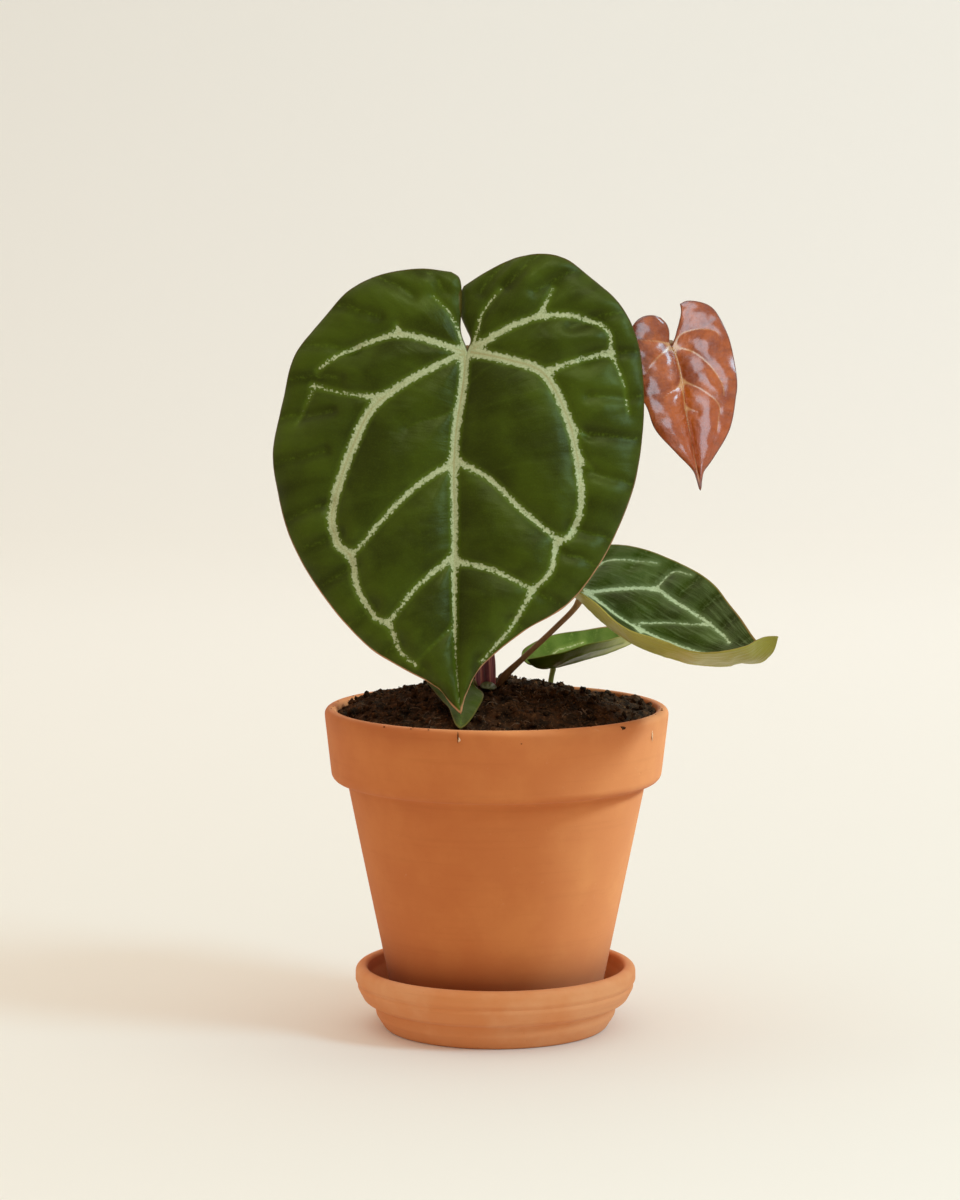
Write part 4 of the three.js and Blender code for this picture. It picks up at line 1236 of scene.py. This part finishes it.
STALKS = {
    "leaf_main_stalk": (
        brown_stalk, (2.8, 2.1, 3.0), (-11.5, 6, STALK_FOOT), (-11.5, 6, 150), (-13.5, 9, 200),
        (-14, 7, 250), (-13.3, 1, 283), (-12.8, -9, 294), seat(MAIN_LEAF),
    ),
    "leaf_bronze_stalk": (
        brown_stalk, (2.2, 1.5, 1.9), (-4, 10.5, STALK_FOOT), (-4, 10.5, 150), (-3, 14, 190),
        (6, 17, 225), (34, 16, 263), (60, 14, 287), (71, 10, 295.8), (75, 5, 298.2),
        seat(BRONZE_LEAF),
    ),
    "leaf_right_stalk": (
        dark_stalk, (1.9, 1.25, 1.6), (1, 6, STALK_FOOT), (1, 6, 147), (2.6, 5.8, 152.2),
        (11.5, 4.8, 161.4), (25.4, 3.3, 174.8), (34.4, 2.6, 184.3), seat(RIGHT_LEAF),
    ),
    "leaf_back_stalk": (
        green_stalk, (1.3, 1.2, 1.3), (24.2, 51.4, STALK_FOOT), (24.2, 51.4, 142),
        (24.8, 50.8, 147), seat(BACK_LEAF),
    ),
    "leaf_front_stalk": (
        brown_stalk, (1.6, 1.3, 1.5), (-9, -4.8, STALK_FOOT), (-9, -4.8, 147), (-10, -8, 152.5),
        (-12.8, -16.5, 156.5), (-13.8, -20.6, 159), seat(FRONT_LEAF),
    ),
}
for node, (finish, radii, *route) in STALKS.items():
    vertices, faces, along = stem(route, *radii)
    make_piece(node + "_fine", vertices, faces, finish, [node], {"along": along})


# %% [markdown]
# ## Crown
# All stalks rise from one crown. Dry scale leaves are wrapped round it into a ribbed, purple-red
# spike, and a small grey-green scale lies at its foot.

# %% Sheath
SHEATH_AT, SHEATH_FOOT, SHEATH_TOP, SHEATH_RADIUS, SHEATH_RIBS = (-4.8, 2), 133, 178, 4.2, 7
SHEATH_STEPS, SHEATH_SIDES = 90, 112
# part of the height, and part of the full radius there
SHEATH_PROFILE = [
    (0, 0.82), (0.3, 0.95), (0.42, 1), (0.58, 1), (0.72, 0.85), (0.86, 0.55), (0.95, 0.28), (1, 0.06),
]


def sheath():
    """Rings whose radius follows a smooth profile, times seven ribs that turn with height."""
    part = np.linspace(0, 1, SHEATH_STEPS)[:, None]
    fine = curve_through(SHEATH_PROFILE, np.linspace(0, 1, 300))
    turn = round_angles(SHEATH_SIDES)
    phase = SHEATH_RIBS * turn + 3 * part
    rib = 1 + 0.07 * np.cos(phase) + 0.02 * np.cos(3 * phase + 1)
    r = SHEATH_RADIUS * np.interp(part, fine[:, 0], fine[:, 1]) * rib
    z = SHEATH_FOOT + (SHEATH_TOP - SHEATH_FOOT) * part + 0 * turn
    grid = np.stack([SHEATH_AT[0] + r * np.cos(turn), SHEATH_AT[1] + r * np.sin(turn), z], -1)
    poles = [(*SHEATH_AT, SHEATH_FOOT), (*SHEATH_AT, SHEATH_TOP)]
    ribs = np.append(np.cos(phase).ravel(), (0, 0))
    return np.vstack([grid.reshape(-1, 3), poles]), closed_tube(SHEATH_STEPS, SHEATH_SIDES), ribs


def sheath_finish():
    """Two purples in streaks along the scale leaves, and a paler red on the crest of each rib."""
    scales = Finish("purple_sheath", Roughness=0.55)
    fibres = scales.noise(1.6, detail=4, stretch=(1, 1, 0.12))
    tone = scales.mix(scales.ease(fibres, 0.35, 0.65), colour("5a1c26"), colour("8c3a44"))
    tone = scales.tint(tone, "b0665e", scales.ease(scales.field("ribs"), 0.5, 1.0))
    return scales.finish(Base_Color=tone, Normal=scales.bump(fibres, 0.3, 0.6))


vertices, faces, ribs = sheath()
make_piece(
    "sheath_spike", vertices, faces, sheath_finish(), ["crown_sheath"], {"ribs": ribs}
)

# %% Bract
CROWN_BRACT = {
    "junction": (-3.4, -2.9, 151.6),
    "towards": (-3.8, -15.5, 149.9),
    "face": (0.1, -0.35, 0.93),
    "wave": 0.2,
    "waves": 1,
    "rib": 0,
    "quilt": 0.1,
    "laterals": (3, 0.3),
    "seed": 56,
    "midrib": [(0, 6, 1.2)],
    "tip": (0, 12.6, 0.6),
    "left": {
        "arch": 0.6,
        "phase": 0,
        "sinus": [(-1.6, 0.2, 0)],
        "margin": [(-3.1, 3, -0.3), (-3.3, 7, -0.2), (-2, 10.8, 0.4)],
    },
    "right": {
        "arch": 0.6,
        "phase": 0,
        "sinus": [(1.6, 0.2, 0)],
        "margin": [(3.1, 3, -0.3), (3.3, 7, -0.2), (2, 10.8, 0.4)],
    },
    "veins": [([0.5, 0.2], (0, 1), (0, 11))],
}
grey_green = green_leaf(
    "grey_green", deep="343a1c", green="454b28", bright="5a6038", silver="666c44",
    cord="666044", under="444a28", rim="4a3c20", dry_rim="4a4a28",
)
make_blade("bract_scale", CROWN_BRACT, grey_green, ["crown_bract"], 30, 12)

# %% [markdown]
# ## Floor and backdrop
# The plant stands on a plain cream sweep: a floor that curves up into a wall far behind it. One
# smooth surface leaves no line behind the leaves. The far part glows faintly, more to the right,
# in place of a lamp that would light the wall alone.

# %% Sweep
def sweep():
    """A floor, a quarter circle of 0.7 m and a wall, as one sheet that is wide in X."""
    turn = np.linspace(0, pi / 2, 40)
    y = np.concatenate([[-4.0], 2.2 + 0.7 * np.sin(turn), [2.9]])
    z = np.concatenate([[0.0], 0.7 - 0.7 * np.cos(turn), [3.5]])
    x = np.array([-4.0, 4.0])
    grid = np.stack(np.broadcast_arrays(x[None], y[:, None], z[:, None]), -1).reshape(-1, 3)
    mesh = bpy.data.meshes.new("sweep")
    row = np.arange(len(y) - 1)[:, None] * 2
    mesh.from_pydata(grid.tolist(), [], (row + np.array([0, 1, 3, 2])).tolist())
    mesh.polygons.foreach_set("use_smooth", np.ones(len(mesh.polygons), bool))
    return mesh


paper = Finish("cream_paper", Roughness=0.9, Specular_IOR_Level=0.05, Base_Color=colour("f1ede6"))
distant = paper.times(paper.ease(paper.part("Y"), -0.2, 1.6), 0.15)
rightward = paper.math("MULTIPLY_ADD", paper.part("X"), 0.4, 1.0)
cream_paper = paper.finish(
    Emission_Color=(0.75, 0.9, 1.0, 1), Emission_Strength=paper.times(distant, rightward)
)
floor = bpy.data.objects.new("sweep", sweep())
floor.data.materials.append(cream_paper)
bpy.context.scene.collection.objects.link(floor)
floor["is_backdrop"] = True

# %% [markdown]
# ## Light
# A soft cool light stands high on the right, a little in front of the plant, and throws the long
# shadow on the floor. Three more fall only on chosen pieces, so the floor keeps its one shadow. A
# light from the side brightens the pot's right and puts the folded leaf's shadow on its collar. A
# wide one near the camera shines on the bronze leaf, and one from above brings out the velvet.

# %% Lights
LIGHT_AWAY, LIGHT_MIDDLE = 2.2, 0.15


def soft_light(name, bearing, height, size, energy, tint):
    """A disc that faces the plant, at degrees from the camera's side round towards the right.

    It stands at x = d cos h sin b, y = -d cos h cos b and z = middle + d sin h, for the distance
    d, the height h and the bearing b.
    """
    data = bpy.data.lights.new(name, "AREA")
    data.shape = "DISK"
    data.size, data.energy, data.color = size, energy, tint
    light = bpy.data.objects.new(name, data)
    b, h = radians(bearing), radians(height)
    level, rise = LIGHT_AWAY * np.cos(h), LIGHT_AWAY * np.sin(h)
    light.location = (level * np.sin(b), -level * np.cos(b), LIGHT_MIDDLE + rise)
    light.rotation_euler = (pi / 2 - h, 0, b)
    bpy.context.scene.collection.objects.link(light)
    light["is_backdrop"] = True
    return light


def only_on(light, choose):
    """Let a light fall on the chosen pieces alone."""
    chosen = bpy.data.collections.new(light.name)
    for piece in bpy.context.scene.objects:
        if piece.type == "MESH" and choose(piece.name):
            chosen.objects.link(piece)
    light.light_linking.receiver_collection = chosen


COOL, COOLER, LEAFY = (0.6, 0.84, 1.0), (0.45, 0.8, 1.0), (0.75, 0.9, 0.75)
key = soft_light("key", 63, 32, size=0.65, energy=20, tint=COOLER)
side = soft_light("side", 95, 33, size=0.4, energy=80, tint=COOLER)
gloss = soft_light("gloss", -10, 6, size=1.8, energy=50, tint=COOL)
velvet = soft_light("velvet", 25, 56, size=0.7, energy=13, tint=LEAFY)

GREEN_LEAVES = ("leaf_main", "leaf_right", "leaf_back", "leaf_front")
only_on(side, lambda name: name.startswith(("pot", "soil", "collar", "rim")))
only_on(gloss, lambda name: name == "leaf_bronze")
only_on(velvet, lambda name: name in GREEN_LEAVES)
print("key light at", [round(c, 2) for c in key.location])

# %% [markdown]
# ## Room
# The rest of the light comes from the room: warm, stronger behind the plant than on the camera's
# side, and stronger from above than from below. View transform Standard keeps each colour as it
# was mixed.

# %% Room
room = bpy.data.worlds.new("room")
room.use_nodes = True
sky = Recipe(room.node_tree)
direction = sky.node("TexCoord", {}, "Generated")
behind = sky.node("SeparateXYZ", {"Vector": direction}, "Y")
above = sky.node("SeparateXYZ", {"Vector": direction}, "Z")
depth = sky.node(
    "MapRange", {"Value": behind, "From Min": -1, "From Max": 1, "To Min": 0.7, "To Max": 1.28}
)
overhead = sky.math("MULTIPLY_ADD", above, 0.5, 0.67)
background = sky.nodes["Background"]
sky.set(background.inputs["Color"], (1.0, 0.9, 0.77, 1))
sky.set(background.inputs["Strength"], sky.times(depth, overhead))
bpy.context.scene.world = room
bpy.context.scene.view_settings.view_transform = "Standard"
print("room light:", len(sky.nodes), "nodes")

# %% [markdown]
# ## Sizes
# The fine pieces are meant to fill the same box as the frame, so both boxes are printed.

# %% The sizes
fine_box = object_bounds()
sizes = {"frame": [list(c) for c in cad_box], "fine": [list(c) for c in fine_box]}
print(sizes)
